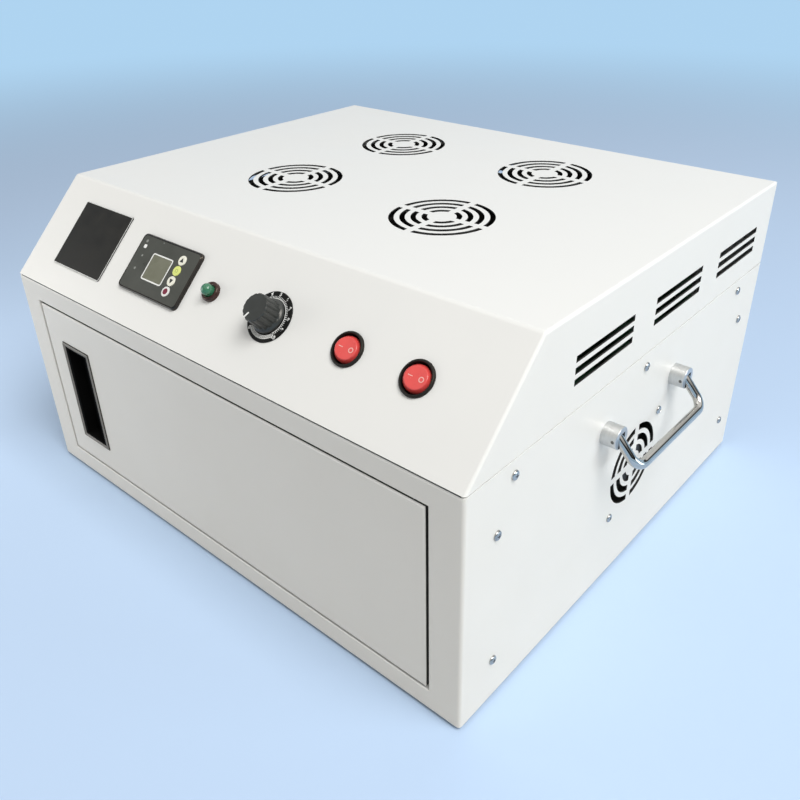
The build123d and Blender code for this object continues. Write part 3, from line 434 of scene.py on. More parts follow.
def ring_slot_tree():
    """Tree for the punch of a fan grille: rings of constant width, parted by two crossed webs."""
    sizes = {
        "Outer Radius": ("Float", 38.0), "Ring Pitch": ("Float", 7.85), "Slot Width": ("Float", 3.9),
        "Rings": ("Int", 4), "Web Width": ("Float", 5.6), "Depth": ("Float", 8.0),
    }
    tree, given = node_tree("ring_slots", sizes)
    points, index = numbered(tree, given["Rings"])
    inward = calculate(tree, "MULTIPLY", index, given["Ring Pitch"])
    middle = calculate(tree, "MULTIPLY_ADD", given["Slot Width"], -0.5, given["Outer Radius"])
    radius = calculate(tree, "SUBTRACT", middle, inward)
    ring = add_node(tree, "GeometryNodeCurvePrimitiveCircle", {"Resolution": 96, "Radius": 1.0})
    rings = copies(tree, points, ring.outputs[0], Scale=vector(tree, radius, radius, 1.0))
    curves = add_node(tree, "GeometryNodeRealizeInstances", {0: rings}).outputs[0]
    section = {"Width": given["Slot Width"], "Height": given["Depth"]}
    section = add_node(tree, "GeometryNodeCurvePrimitiveQuadrilateral", section).outputs[0]
    slots = {"Curve": curves, "Profile Curve": section}
    slots = add_node(tree, "GeometryNodeCurveToMesh", slots).outputs[0]
    span = calculate(tree, "MULTIPLY", given["Outer Radius"], 3.0)
    deep = calculate(tree, "MULTIPLY", given["Depth"], 2.0)
    web = given["Web Width"]
    webs = add_node(tree, "GeometryNodeMeshBoolean", operation="UNION", solver="EXACT")
    for size in (vector(tree, span, web, deep), vector(tree, web, span, deep)):
        cube = add_node(tree, "GeometryNodeMeshCube", {"Size": size})
        tree.links.new(cube.outputs[0], webs.inputs["Mesh 2"])
    pair = {"Mesh 1": slots, "Mesh 2": webs.outputs[0]}
    parted = add_node(tree, "GeometryNodeMeshBoolean", pair, operation="DIFFERENCE", solver="EXACT")
    return end_tree(tree, given, copies(tree, given["Geometry"], parted.outputs[0]))


def slot_row_tree():
    """Tree for the punch of the vents: a grid of straight slots."""
    sizes = {
        "Columns": ("Int", 3), "Rows": ("Int", 3), "Column Pitch": ("Float", 99.75),
        "Row Pitch": ("Float", 7.75), "Slot Length": ("Float", 70.0), "Slot Height": ("Float", 4.5),
        "Depth": ("Float", 8.0),
    }
    tree, given = node_tree("slot_rows", sizes)
    grid = {"Vertices X": given["Columns"], "Vertices Y": given["Rows"]}
    for axis, count, pitch in (("X", "Columns", "Column Pitch"), ("Y", "Rows", "Row Pitch")):
        gaps = calculate(tree, "SUBTRACT", given[count], 1.0)
        grid["Size " + axis] = calculate(tree, "MULTIPLY", gaps, given[pitch])
    points = add_node(tree, "GeometryNodeMeshGrid", grid).outputs[0]
    size = vector(tree, given["Slot Length"], given["Slot Height"], given["Depth"])
    slot = add_node(tree, "GeometryNodeMeshCube", {"Size": size}).outputs[0]
    return end_tree(tree, given, copies(tree, points, slot))


def points_mesh(name, spots):
    """Mesh of loose points."""
    mesh = bpy.data.meshes.new(name)
    mesh.from_pydata(spots, [], [])
    return mesh


white_paint = finish(
    "white_paint", (0.83, 0.832, 0.812), (0.815, 0.818, 0.80), (0.36, 0.44), patch=60, grain=(1.1, 0.012)
)
# Near-black finish for painted shade: the walls of the grille, vent and post slots, the door's edges and the
# strip in the hood seam take it.
cut_edge = finish(
    "cut_edge", (0.035, 0.034, 0.032), (0.022, 0.022, 0.021), (0.55, 0.70), patch=8, grain=(0.3, 0.01)
)
ring_slots = ring_slot_tree()
slot_rows = slot_row_tree()

hood = bent(
    "hood_sheet", [(FRONT, SEAM), (SLOPE_TOP, TOP), (REAR, TOP), (REAR, SEAM)], HALF_WIDTH,
    lambda p: p.z > SEAM + SHEET and p.y < REAR - SHEET, HOOD_BEND,
)
slant = SHEET * math.sqrt(2)
inside = [
    (FRONT + slant - SHEET, SEAM - SHEET), (SLOPE_TOP + slant - SHEET, TOP - SHEET),
    (REAR + SHEET, TOP - SHEET), (REAR + SHEET, SEAM - SHEET),
]
inner = HALF_WIDTH - SHEET
boolean(hood, bent("hood_inside", inside, inner, lambda p: p.z > SEAM and p.y < REAR, HOOD_BEND - SHEET))
at_top = IN_METRES @ Matrix.Translation((0, 0, TOP))
# The grille and vent punches give their slot walls the near-black finish, as painted shade.
spots = points_mesh("top_grilles", [(x, y, 0) for x, y in TOP_GRILLES])
boolean(hood, grown("top_grille_punch", ring_slots, at_top, spots, Material=cut_edge))
for side in (-1, 1):
    place = facing_out(side, side * HALF_WIDTH, *VENTS_AT)
    boolean(hood, grown("vent_punch", slot_rows, place, Material=cut_edge))
bm = bmesh.new()
for from_left, radius in CONTROL_HOLES:
    ring = [Vector(p) + Vector((from_left - HALF_WIDTH, -CONTROLS_DOWN, 0)) for p in circle(radius)]
    loft(bm, [[p + Vector((0, 0, z)) for p in ring] for z in THROUGH])
x, y = TIMER_AT - HALF_WIDTH, -CONTROLS_DOWN
wide, high = TIMER_HOLE
block(bm, (x - wide, y - high, THROUGH[0]), (x + wide, y + high, THROUGH[1]))
boolean(hood, make("control_punch", bm, white_paint, on_slope(HALF_WIDTH, 0)))
folds = [((-inner, REAR - SHEET, TOP - REAR_FOLD), (inner, REAR - 0.02, TOP - SHEET))]
for side in (-1, 1):
    near, far = sorted((side * inner, side * (HALF_WIDTH - 2 * SHEET)))
    folds.append(((near, FRONT + LAP_ENDS, SEAM - LAP_BELOW), (far, REAR - LAP_ENDS, SEAM + LAP_ABOVE)))
boolean(hood, boxed("hood_folds", white_paint, folds), "UNION")
smooth(hood)
dress(hood, "cabinet", "white_paint", "hood")

# Lower shell. One sheet is folded into the front and both sides, with rounded bends, jambs
# around the door opening, ring-slotted grilles for the side fans and a turned-in rear edge.
# A near-black strip set back in the joint below the slope paints the shade of that gap.
SHELL_LOW, SHELL_TOP = 3.0, 180.2
SHELL_BEND = 2.5
FOLD = 12.0
OPENING = (411.4, 144.9)
OPENING_MIDDLE = 90.85
OPENING_BEND, OPENING_CORNER = 0.8, 0.4
FLARE, FLARE_CORNER = 4, 2.4
PUNCH_DEPTH = 40.0
JAMB_BACK = -182.0
FAN_HEIGHT = 90.4
STRIP_IN, STRIP_ENDS = 0.7, 3
SIDE_GRILLE = {"Outer_Radius": 31.5, "Ring_Pitch": 8.55, "Slot_Width": 4.9, "Rings": 3}


def outline(width, height, corner, z=0.0, steps=6):
    """Ring of points around a rectangle with rounded corners."""
    points = []
    for quarter, (side, end) in enumerate(((1, 1), (-1, 1), (-1, -1), (1, -1))):
        for i in range(steps + 1):
            angle = math.radians(90 * (quarter + i / steps))
            x = side * (width / 2 - corner) + corner * math.cos(angle)
            y = end * (height / 2 - corner) + corner * math.sin(angle)
            points.append((x, y, z))
    return points


def paint_nodes(material, *names):
    """Give CAD nodes that stay in view their finish."""
    for name in names:
        nodes[name].data.materials.clear()
        nodes[name].data.materials.append(material)


shell = boxed(
    "lower_shell_sheet", white_paint, [((-HALF_WIDTH, FRONT, SHELL_LOW), (HALF_WIDTH, REAR, SHELL_TOP))],
    wanted=lambda p: p.y < FRONT + SHEET and p.z > SHELL_LOW + SHEET, bend=SHELL_BEND,
)
inside = [((-inner, FRONT + SHEET, SHELL_LOW - SHEET), (inner, REAR + SHEET, SHELL_TOP - SHEET))]
inside = boxed(
    "shell_inside", white_paint, inside,
    wanted=lambda p: p.y < FRONT + 2 * SHEET and p.z > SHELL_LOW, bend=SHELL_BEND - SHEET,
)
boolean(shell, inside)
mouth = [((-inner, FRONT + FOLD, SHELL_TOP - 3 * SHEET), (inner, REAR + SHEET, SHELL_TOP + SHEET))]
boolean(shell, boxed("shell_mouth", white_paint, mouth))
folds = []
for side in (-1, 1):
    near, far = sorted((side * (inner + 0.2), side * (inner - FOLD)))
    folds.append(((near, REAR - SHEET, SHELL_LOW + SHEET), (far, REAR, SHELL_TOP)))
boolean(shell, boxed("shell_rear_folds", white_paint, folds), "UNION")
at_opening = placed((0, FRONT, OPENING_MIDDLE), (1, 0, 0), (0, -1, 0))
lining = [OPENING[0] + 2 * SHEET, OPENING[1] + 2 * SHEET]
rings = [outline(*lining, 0.3, z, steps=2) for z in (-SHEET / 2, FRONT - JAMB_BACK)]
boolean(shell, lofted("jamb_lining", rings, white_paint, at_opening), "UNION")
rings = [outline(OPENING[0] + FLARE, OPENING[1] + FLARE, FLARE_CORNER, 1.0, steps=3)]
for i in range(7):
    angle = math.radians(15 * i)
    spread = OPENING_BEND * (1 - math.sin(angle))
    depth = OPENING_BEND * (1 - math.cos(angle))
    widened = (OPENING[0] + 2 * spread, OPENING[1] + 2 * spread)
    rings.append(outline(*widened, OPENING_CORNER + spread, -depth, steps=3))
rings.append(outline(*OPENING, OPENING_CORNER, -PUNCH_DEPTH, steps=3))
boolean(shell, lofted("opening_punch", rings, white_paint, at_opening))
# The side grille punches give their slot walls the near-black finish, as painted shade.
for side in (-1, 1):
    place, spot = facing_out(side, side * HALF_WIDTH, 0, FAN_HEIGHT), points_mesh("side_grille", [(0, 0, 0)])
    boolean(shell, grown("side_grille_punch", ring_slots, place, spot, Material=cut_edge, **SIDE_GRILLE))
smooth(shell)
dress(shell, "cabinet", "white_paint", "lower_shell")
paint_nodes(white_paint, "rear_panel")
# Painted shade: a near-black strip in the seam stands for the dark gap below the slope.
reach = HALF_WIDTH - STRIP_ENDS
strip = ((-reach, FRONT + STRIP_IN, SHELL_TOP - SHEET), (reach, FRONT + STRIP_ENDS, SEAM - 0.1))
dress(boxed("seam_foam_strip", cut_edge, [strip]), "cabinet", "black_rubber")

# Door. A folded tray of the same sheet, with rounded edges, a closing sheet at the back, an
# aperture for the pull and notched corners where the pivot pins reach in. Its side edges are
# near-black, as painted shade of the dark gaps around it.
DOOR = (406.6, 141.3)
DOOR_DEPTH = 14.0
DOOR_BEND = 1.5
PULL_AT = (68.15 - HALF_WIDTH, 87.8)
PULL_APERTURE = (33.7, 86.8)
PIVOT = (197.2, -195.0)
NOTCH = 6.9
EDGE_TURNED = 0.3


def moved(points, x=0.0, y=0.0, z=0.0):
    """Ring of points, set off from where it was drawn."""
    return [(a + x, b + y, c + z) for a, b, c in points]


at_front = placed((0, FRONT, 0), (1, 0, 0), (0, -1, 0))
half = DOOR[0] / 2
low, high = OPENING_MIDDLE - DOOR[1] / 2, OPENING_MIDDLE + DOOR[1] / 2
door = boxed(
    "door_sheet", white_paint, [((-half, low, -DOOR_DEPTH), (half, high, 0))], at_front,
    wanted=lambda p: p.z > -SHEET, bend=DOOR_BEND,
)
# The door's side edges take the near-black finish, as painted shade of the gaps around it.
door.data.materials.append(cut_edge)
for face in door.data.polygons:
    if abs(face.normal.y) < EDGE_TURNED:
        face.material_index = 1
inside = ((SHEET - half, low + SHEET, -DOOR_DEPTH - 2), (half - SHEET, high - SHEET, -SHEET))
boolean(door, boxed("door_inside", white_paint, [inside], at_front))
rings = [moved(outline(*PULL_APERTURE, 1, z), *PULL_AT) for z in THROUGH]
boolean(door, lofted("pull_punch", rings, white_paint, at_front))
notch = (
    (PIVOT[0] - NOTCH / 2, low - 5, -DOOR_DEPTH - 5),
    (PIVOT[0] + NOTCH / 2, high + 5, FRONT - PIVOT[1] + NOTCH / 2),
)
boolean(door, boxed("notch_punch", white_paint, [notch], at_front))
smooth(door)
dress(door, "door", "white_paint", "door_skin")
paint_nodes(white_paint, "door_back")

# Door pull. A moulded black cup is pressed into the aperture, and a bevelled grey rim that
# covers the cut edge of the sheet is clipped around its mouth.
WARM_SHEEN = (1.0, 0.84, 0.70, 1)
PULL_CUP = (
    (27.8, 84.5, 1.5, -11.5), (27.8, 84.5, 1.5, -0.05), (38.9, 92.0, 1.0, 0.0),
    (38.9, 92.0, 1.0, 0.30), (38.3, 91.4, 0.9, 0.45), (31.2, 85.6, 0.6, 0.45),
    (25.4, 82.2, 0.5, 0.30), (25.0, 81.7, 0.5, -0.2), (25.0, 81.7, 0.5, -10.1),
)
PULL_RIM = (
    (37.7, 90.8, 0.9, 0.40), (37.7, 90.8, 0.9, 0.75), (36.9, 90.0, 0.8, 1.15),
    (35.6, 88.8, 0.7, 1.20), (35.0, 88.2, 0.6, 0.80), (33.9, 87.2, 0.6, 0.80),
    (33.4, 86.8, 0.6, 1.05), (31.6, 85.6, 0.5, 0.70), (31.4, 85.4, 0.5, 0.40),
)


def moulded(name, rows, material, place, closed=False):
    """Object skinned over rounded rectangles, each given as (width, height, corner, z)."""
    return lofted(name, [outline(*row) for row in rows], material, place, closed)


black_plastic = finish(
    "black_plastic", (0.012, 0.012, 0.011), (0.017, 0.017, 0.016), (0.42, 0.55), patch=12,
    grain=(0.35, 0.012), Specular_IOR_Level=0.2, Specular_Tint=WARM_SHEEN,
)
rim_plastic = finish(
    "rim_plastic", (0.200, 0.198, 0.190), (0.240, 0.237, 0.228), (0.36, 0.46), patch=12,
    grain=(0.35, 0.006), Specular_IOR_Level=0.3, Specular_Tint=WARM_SHEEN,
)
# The cup is black plastic, darkened further and nearly without reflection as painted shade of the recess.
cup_plastic = finish(
    "cup_plastic", (0.003, 0.003, 0.003), (0.005, 0.005, 0.005), (0.80, 0.90), patch=12,
    grain=(0.35, 0.02), Specular_IOR_Level=0.03,
)
at_pull = at_front @ Matrix.Translation((*PULL_AT, 0))
cup = moulded("door_pull_cup", PULL_CUP, cup_plastic, at_pull)
dress(smooth(cup, 25), "door", "black_plastic", "door_pull")
rim = moulded("door_pull_rim", PULL_RIM, rim_plastic, at_pull, closed=True)
dress(smooth(rim, 25), "door", "dark_plastic")

# Handles. Satin posts are screwed on from inside; a chrome rod swings in their slots on
# cross pins and rests on its stops.
POST = (8.0, 11.5)
POST_PITCH = 98.5
HANDLE_HEIGHT = 142.3
PIVOT_OUT = 9.0
ROD = 3.4
ARM, ROD_BEND = 23.7, 9.0
REST_ANGLE, LEVEL = 42.0, 90.0
SLOT_HALF, SLOT_SHIFT = 3.7, 7.15
POST_SLOT = (24.7, 2 * SLOT_HALF, 3.6)
ROD_END = 0.80

satin_metal = finish(
    "satin_metal", (0.66, 0.665, 0.66), (0.59, 0.595, 0.59), (0.32, 0.42), patch=6, grain=(0.4, 0.008),
    stretch=(3, 1, 1), Metallic=1.0,
)
chrome = finish(
    "chrome", (0.56, 0.55, 0.53), (0.52, 0.51, 0.49), (0.05, 0.09), patch=15, grain=(2.0, 0.002),
    Metallic=1.0,
)
zinc_steel = finish(
    "zinc_steel", (0.50, 0.49, 0.47), (0.40, 0.39, 0.375), (0.16, 0.28), patch=9, grain=(0.6, 0.004),
    Metallic=1.0,
)
pin_steel = finish(
    "pin_steel", (0.16, 0.16, 0.155), (0.11, 0.11, 0.105), (0.25, 0.38), patch=2, grain=(0.3, 0.003),
    Metallic=1.0,
)


def swung(side, angle, along):
    """Place on a bail's turning axis, with x down the bail and z along the axis."""
    turn = math.radians(angle)
    x_axis = (side * math.sin(turn), 0, -math.cos(turn))
    return placed((side * (HALF_WIDTH + PIVOT_OUT), along, HANDLE_HEIGHT), x_axis, (0, 1, 0))


def turned(name, profile, steps, material, place, closed=False):
    """Object turned around its own z axis, from its profile as (radius, z)."""
    return lofted(name, [circle(r, z, steps) for r, z in profile], material, place, closed)


def joined(name, parts):
    """One object from several, which are removed."""
    bm = bmesh.new()
    for part in parts:
        bm.from_mesh(part.data)
    mesh = bpy.data.meshes.new(name)
    bm.to_mesh(mesh)
    bm.free()
    for material in parts[0].data.materials:
        mesh.materials.append(material)
    for part in parts:
        bpy.data.objects.remove(part)
    return link(name, mesh)


radius, length = POST
profile = ((radius, 0), (radius, length - 0.7), (radius - 0.2, length - 0.2), (radius - 0.7, length))
slot_rings = [moved(outline(*POST_SLOT, z), SLOT_SHIFT) for z in (-SLOT_HALF, SLOT_HALF)]
spots = [(side, along) for side in (-1, 1) for along in (-POST_PITCH / 2, POST_PITCH / 2)]
posts = []
# The post slots' walls take the near-black finish, as painted shade inside them.
for side, along in spots:
    place = facing_out(side, side * HALF_WIDTH, along, HANDLE_HEIGHT)
    post = turned("post", profile, 48, satin_metal, place)
    for angle in (REST_ANGLE, LEVEL):
        boolean(post, lofted("post_slot", slot_rings, cut_edge, swung(side, angle, along)))
    posts.append(post)
dress(smooth(joined("handle_post_turnings", posts), 25), "cabinet", "satin_metal", "handle_posts")
bm = bmesh.new()
reach = POST[0] + 0.15
pin = ((1.0, -reach), (1.25, 0.25 - reach), (1.25, reach - 0.25), (1.0, reach))
for side, along in spots:
    x = side * (HALF_WIDTH + PIVOT_OUT)
    loft(bm, [[(x + a, along + h, HANDLE_HEIGHT + b) for a, b, z in circle(r, 0, 16)] for r, h in pin])
pins = smooth(make("handle_cross_pins", bm, pin_steel), 25)
dress(pins, "cabinet", "zinc_steel", "handle_pins")


def rod_path():
    """Middle line of a bail across its arms, as (along, down) from the pivot axis."""
    half = POST_PITCH / 2
    points = [(-half, -ROD), (-half, 0), (-half, ARM / 3)]
    for end, first in ((-1, 180), (1, 270)):
        for i in range(13):
            angle = math.radians(first + 7.5 * i)
            along = end * (half - ROD_BEND) + ROD_BEND * math.cos(angle)
            points.append((along, ARM - ROD_BEND - ROD_BEND * math.sin(angle)))
    return points + [(half, ARM / 3), (half, 0), (half, -ROD)]


path = rod_path()
rings = []
for i, (along, down) in enumerate(path):
    before, after = path[max(i - 1, 0)], path[min(i + 1, len(path) - 1)]
    heading = Vector((after[0] - before[0], after[1] - before[1])).normalized()
    radius = ROD * (ROD_END if i in (0, len(path) - 1) else 1.0)
    ring = []
    for across, up, _ in circle(radius, 0, 32):
        ring.append((down + heading.x * across, up, along - heading.y * across))
    rings.append(ring)
for side, name in ((1, "right"), (-1, "left")):
    bail = smooth(lofted(f"handle_rod_{name}", rings, chrome, swung(side, REST_ANGLE, 0)), 40)
    dress(bail, f"bail_{name}", "chrome", f"handle_bail_{name}")

# Screws. Zinc-plated pan heads with cross recesses hold the hood, the shell, the side fans,
# the rear panel and the mains inlet.
AS_DRAWN = Matrix.Identity(4)
SCREW_HEAD = (
    (3.2, 0), (3.2, 0.55), (3.0, 1.05), (2.55, 1.42), (1.8, 1.68), (0.9, 1.8), (0.3, 1.82),
)
CROSS = (3.5, 0.8)
SIDE_SCREWS = (
    (45, 166.6), (200, 166.5), (355, 167.5), (30.5, 133.5), (370, 137), (32, 33), (374, 36),
    (231.8, 116.7), (172.6, 54.3),
)
REAR_SCREWS = [(x, z) for x in (-215, -72, 72, 215) for z in (15, 236)]


def screw_tree():
    """Tree that sets a screw on every point, square to the sheet and turned at random."""
    tree, given = node_tree("screws", {"Screw": ("Object", None), "Seed": ("Int", 7)})
    outward = {"Name": "outward"}
    outward = add_node(tree, "GeometryNodeInputNamedAttribute", outward, data_type="FLOAT_VECTOR")
    square = {"Vector": outward.outputs[0]}
    square = add_node(tree, "FunctionNodeAlignRotationToVector", square, axis="Z").outputs[0]
    spin = {"Seed": given["Seed"], 2: 0.0, 3: math.tau}
    spin = add_node(tree, "FunctionNodeRandomValue", spin, data_type="FLOAT").outputs[1]
    turn = add_node(tree, "FunctionNodeAxisAngleToRotation", {"Axis": (0, 0, 1), "Angle": spin}).outputs[0]
    way = {0: square, 1: turn}
    way = add_node(tree, "FunctionNodeRotateRotation", way, rotation_space="LOCAL").outputs[0]
    screw = add_node(tree, "GeometryNodeObjectInfo", {"Object": given["Screw"]}).outputs["Geometry"]
    return end_tree(tree, given, copies(tree, given["Geometry"], screw, Rotation=way))


screw = turned("screw", SCREW_HEAD, 32, zinc_steel, AS_DRAWN)
for long, wide in (CROSS, CROSS[::-1]):
    rings = []
    for share, z in ((0.55, 0.7), (1.0, 2.4)):
        x, y = wide / 2 * share, long / 2 * share
        rings.append([(-x, -y, z), (x, -y, z), (x, y, z), (-x, y, z)])
    boolean(screw, lofted("recess", rings, zinc_steel, AS_DRAWN))
screws_at = []
for side in (-1, 1):
    for from_front, height in SIDE_SCREWS:
        screws_at.append(((side * HALF_WIDTH, FRONT + from_front, SHELL_LOW + height), (side, 0, 0)))
for x, z in REAR_SCREWS:
    screws_at.append(((x, REAR + SHEET, z), (0, 1, 0)))
start = points_mesh("screw_spots", [spot for spot, _ in screws_at])
directions = [c for _, outward in screws_at for c in outward]
start.attributes.new("outward", "FLOAT_VECTOR", "POINT").data.foreach_set("vector", directions)
screws = grown("pan_head_screws", screw_tree(), start=start, Screw=screw, Material=zinc_steel)
bpy.data.objects.remove(screw)
dress(smooth(screws, 35), "cabinet", "zinc_steel")

# Rating plate. A thin black plate with rounded corners lies on the slope, and is left bare
# inside its light border line.
PLATE_AT = (69.15, 46.45)
PLATE = ((65.1, 55.7, 1.2, 0), (65.1, 55.7, 1.2, 0.62), (64.9, 55.5, 1.1, 0.76))
BORDER, BORDER_LEVEL = (64.9, 55.5, 1.1, 0.5), 0.8

black_plate = finish(
    "black_plate", (0.011, 0.011, 0.010), (0.017, 0.017, 0.015), (0.42, 0.56), patch=10,
    grain=(0.5, 0.004), Specular_IOR_Level=0.22, Specular_Tint=WARM_SHEEN,
)
print_white = finish(
    "print_white", (0.86, 0.87, 0.85), (0.80, 0.81, 0.79), (0.45, 0.55), patch=3, grain=(0.3, 0.003)
)
at_plate = on_slope(*PLATE_AT)
plate = moulded("bare_plate", PLATE, black_plate, at_plate)
dress(smooth(plate), "cabinet", "black_plate", "blank_plate")


def line_frame(name, shape, level, material, place):
    """Thin printed outline of a rounded rectangle: (width, height, corner, line width)."""
    width, height, corner, line = shape
    small = (width - 2 * line, height - 2 * line, max(corner - line, 0.05))
    rings = [outline(width, height, corner, z) for z in (level - 0.1, level)]
    rings += [outline(*small, z) for z in (level, level - 0.1)]
    return lofted(name, rings, material, place, closed=True)


border = line_frame("plate_border", BORDER, BORDER_LEVEL, print_white, at_plate)
dress(border, "cabinet", "black_plate")

# Timer. A black bezel with a shallow groove round its grey face film is set in the slope over
# its case, with a display behind a white printed outline and four small keys.
FACE = 2.4
WINDOW_AT = (-2.3, -0.3)
WINDOW = (22.2, 19.2, 1.0)
KEY_SHIFT, KEY_PITCH, KEY_TOP = 18.1, 8.25, FACE + 0.5
KEY_SIDES = ((3.85, 0.75), (3.85, 0.3), (3.75, 0.12), (3.45, 0.02), (2.6, 0))
KEY_HOLE, KEY_FLOOR = 4.0, 1.62
BEZEL = (
    (70.2, 44.8, 4.0, 0), (70.2, 44.8, 4.0, FACE - 1.0), (69.9, 44.5, 3.9, FACE - 0.5),
    (69.2, 43.8, 3.6, FACE - 0.1), (68.6, 43.2, 3.3, FACE), (68.0, 42.6, 3.1, FACE - 0.25),
    (67.4, 42.0, 2.9, FACE - 0.25), (67.0, 41.6, 2.8, FACE - 0.04),
)
FILM = (66.8, 41.4, 2.7)
DISPLAY = ((22.0, 19.0, 0.9, 1.82), (22.0, 19.0, 0.9, FACE - 0.12), (21.6, 18.6, 0.8, FACE - 0.04))
KEYS = {
    "up": "cream_plastic", "mode": "lime_plastic", "down": "cream_plastic", "set": "white_plastic",
}
KEY_PLASTICS = {
    "cream_plastic": ((0.86, 0.85, 0.74), (0.82, 0.81, 0.70)),
    "lime_plastic": ((0.74, 0.80, 0.24), (0.69, 0.75, 0.20)),
    "white_plastic": ((0.82, 0.82, 0.80), (0.76, 0.76, 0.74)),
}
DISPLAY_LINE, MODE_MARK = (24.1, 21.1, 1.8, 1.0), (2.6, 2.2, 0.4, 0.3)
ARROW = ((-1.9, -1.4), (1.9, -1.4), (0, 2.0))
LENS_AT = (-27.2, 12.4)
PRINTED_SPOTS = ((-28.0, 16.6, 1.2), (-25.2, 5.2, 0.9), (-25.8, -5.4, 1.0), (-9.6, 19.4, 0.5))
PROUD = 0.04

dark_plastic = finish(
    "dark_plastic", (0.064, 0.069, 0.062), (0.076, 0.081, 0.073), (0.26, 0.36), patch=20,
    grain=(0.8, 0.002), Specular_IOR_Level=0.35, Specular_Tint=WARM_SHEEN,
)
bezel_black = finish(
    "bezel_black", (0.010, 0.010, 0.010), (0.015, 0.015, 0.015), (0.14, 0.22), patch=14,
    grain=(0.6, 0.002), Specular_Tint=WARM_SHEEN,
)
display_glass = finish(
    "display_glass", (0.175, 0.180, 0.135), (0.210, 0.215, 0.165), (0.14, 0.22), patch=7,
    grain=(0.5, 0.001), Specular_Tint=WARM_SHEEN,
)
at_timer = on_slope(TIMER_AT)
at_window = at_timer @ Matrix.Translation((*WINDOW_AT, 0))


def cut_timer(piece):
    """Cut a piece of the timer's face for its keys and, less deeply, for its display."""
    bm = bmesh.new()
    for i in range(4):
        y = KEY_PITCH * (1.5 - i)
        loft(bm, [moved(circle(KEY_HOLE, z), KEY_SHIFT, y) for z in (KEY_FLOOR, 4.0)])
    loft(bm, [moved(outline(*WINDOW, z), *WINDOW_AT) for z in (KEY_FLOOR + 0.1, 4.0)])
    return boolean(piece, make("timer_openings", bm, dark_plastic, at_timer))


bezel = moulded("timer_bezel_moulding", BEZEL, bezel_black, at_timer)
dress(smooth(cut_timer(bezel)), "cabinet", "dark_plastic", "timer_bezel")
film = moulded("timer_face_film", [(*FILM, z) for z in (FACE - 0.06, FACE)], dark_plastic, at_timer)
dress(smooth(cut_timer(film)), "cabinet", "dark_plastic")
display = moulded("timer_display", DISPLAY, display_glass, at_window)
dress(smooth(display), "cabinet", "display_glass", "timer_window")
frame_line = line_frame("display_outline", DISPLAY_LINE, FACE + PROUD, print_white, at_window)
dress(frame_line, "cabinet", "white_plastic")


def ink(name, colour, second, rough=(0.4, 0.5)):
    """Finish of a small printed mark."""
    return finish(name, colour, second, rough, patch=2, grain=(0.3, 0.002))


def flat_mark(name, shapes, level, material, place):
    """Thin printed mark from closed rings of points."""
    bm = bmesh.new()
    for shape in shapes:
        loft(bm, [moved(shape, z=z) for z in (level - 0.05, level)])
    return make(name, bm, material, place)


plastics = {}
for name, shades in KEY_PLASTICS.items():
    plastics[name] = finish(name, *shades, (0.38, 0.5), patch=3, grain=(0.3, 0.004))
ruby = ink("ruby_print", (0.22, 0.02, 0.05), (0.16, 0.015, 0.035), (0.3, 0.4))
print_black = ink("print_black", (0.012, 0.014, 0.012), (0.02, 0.02, 0.02))
print_grey = ink("print_grey", (0.28, 0.29, 0.27), (0.24, 0.25, 0.23))
print_olive = ink("print_olive", (0.33, 0.38, 0.10), (0.29, 0.34, 0.09))
profile = [(r, KEY_TOP - down) for r, down in KEY_SIDES]
level = KEY_TOP + PROUD
for i, (name, slot) in enumerate(KEYS.items()):
    at_key = at_timer @ Matrix.Translation((KEY_SHIFT, KEY_PITCH * (1.5 - i), 0))
    cap = smooth(turned(f"timer_key_cap_{name}", profile, 48, plastics[slot], at_key), 40)
    dress(cap, f"key_{name}", slot, f"timer_key_{name}")
    mark_name = f"key_mark_{name}"
    if name == "set":
        mark = flat_mark(mark_name, [circle(2.3, 0, 32)], level, ruby, at_key)
    elif name == "mode":
        mark = line_frame(mark_name, MODE_MARK, level, print_olive, at_key)
    else:
        turn = 1 if name == "up" else -1
        mark = flat_mark(mark_name, [[(x, turn * y, 0) for x, y in ARROW]], level, print_black, at_key)
    dress(mark, f"key_{name}", slot)
level = FACE + PROUD
lens = moved(outline(3.4, 3.0, 1.2), *LENS_AT)
dress(flat_mark("timer_lamp_lens", [lens], level, print_white, at_timer), "cabinet", "white_plastic")
spots = [moved(circle(radius, 0, 20), x, y) for x, y, radius in PRINTED_SPOTS]
dress(flat_mark("timer_spots", spots, level, print_grey, at_timer), "cabinet", "white_plastic")

# Start button. A domed green cap stands in the collar of a black screwed ring, and goes
# down into it when it is pressed.
BUTTON_RING = (
    (5.9, -20.0), (5.9, -0.05), (7.1, 0.0), (7.1, 2.3), (6.8, 2.9), (6.2, 3.2), (5.1, 3.2), (4.55, 2.8),
    (4.5, 0.0), (4.5, -5.0),
)
CAP_RADIUS, CAP_SIDE, CAP_RISE = 4.2, 5.6, 3.4

green_plastic = finish(
    "green_plastic", (0.036, 0.172, 0.090), (0.044, 0.202, 0.108), (0.22, 0.30), patch=6,
    grain=(1.0, 0.002), Coat_Weight=0.4, Coat_Roughness=0.12,
)
# The button ring is black plastic, tinted dark red as a painted reddish reflection.
ring_plastic = finish(
    "ring_plastic", (0.028, 0.009, 0.009), (0.040, 0.013, 0.013), (0.24, 0.34), patch=5,
    grain=(0.4, 0.003), Specular_Tint=WARM_SHEEN,
)
at_button = on_slope(BUTTON_AT)
ring = turned("button_ring", BUTTON_RING, 64, ring_plastic, at_button)
dress(smooth(ring, 40), "cabinet", "black_plastic", "start_button_body")
dome = [(CAP_RADIUS, -3.0), (CAP_RADIUS, CAP_SIDE)]
for i in range(1, 10):
    angle = math.radians(10 * i)
    dome.append((max(CAP_RADIUS * math.cos(angle), 0.05), CAP_SIDE + CAP_RISE * math.sin(angle)))
cap = turned("button_cap_dome", dome, 64, green_plastic, at_button)
dress(smooth(cap, 40), "start_button", "green_plastic", "start_button_cap")

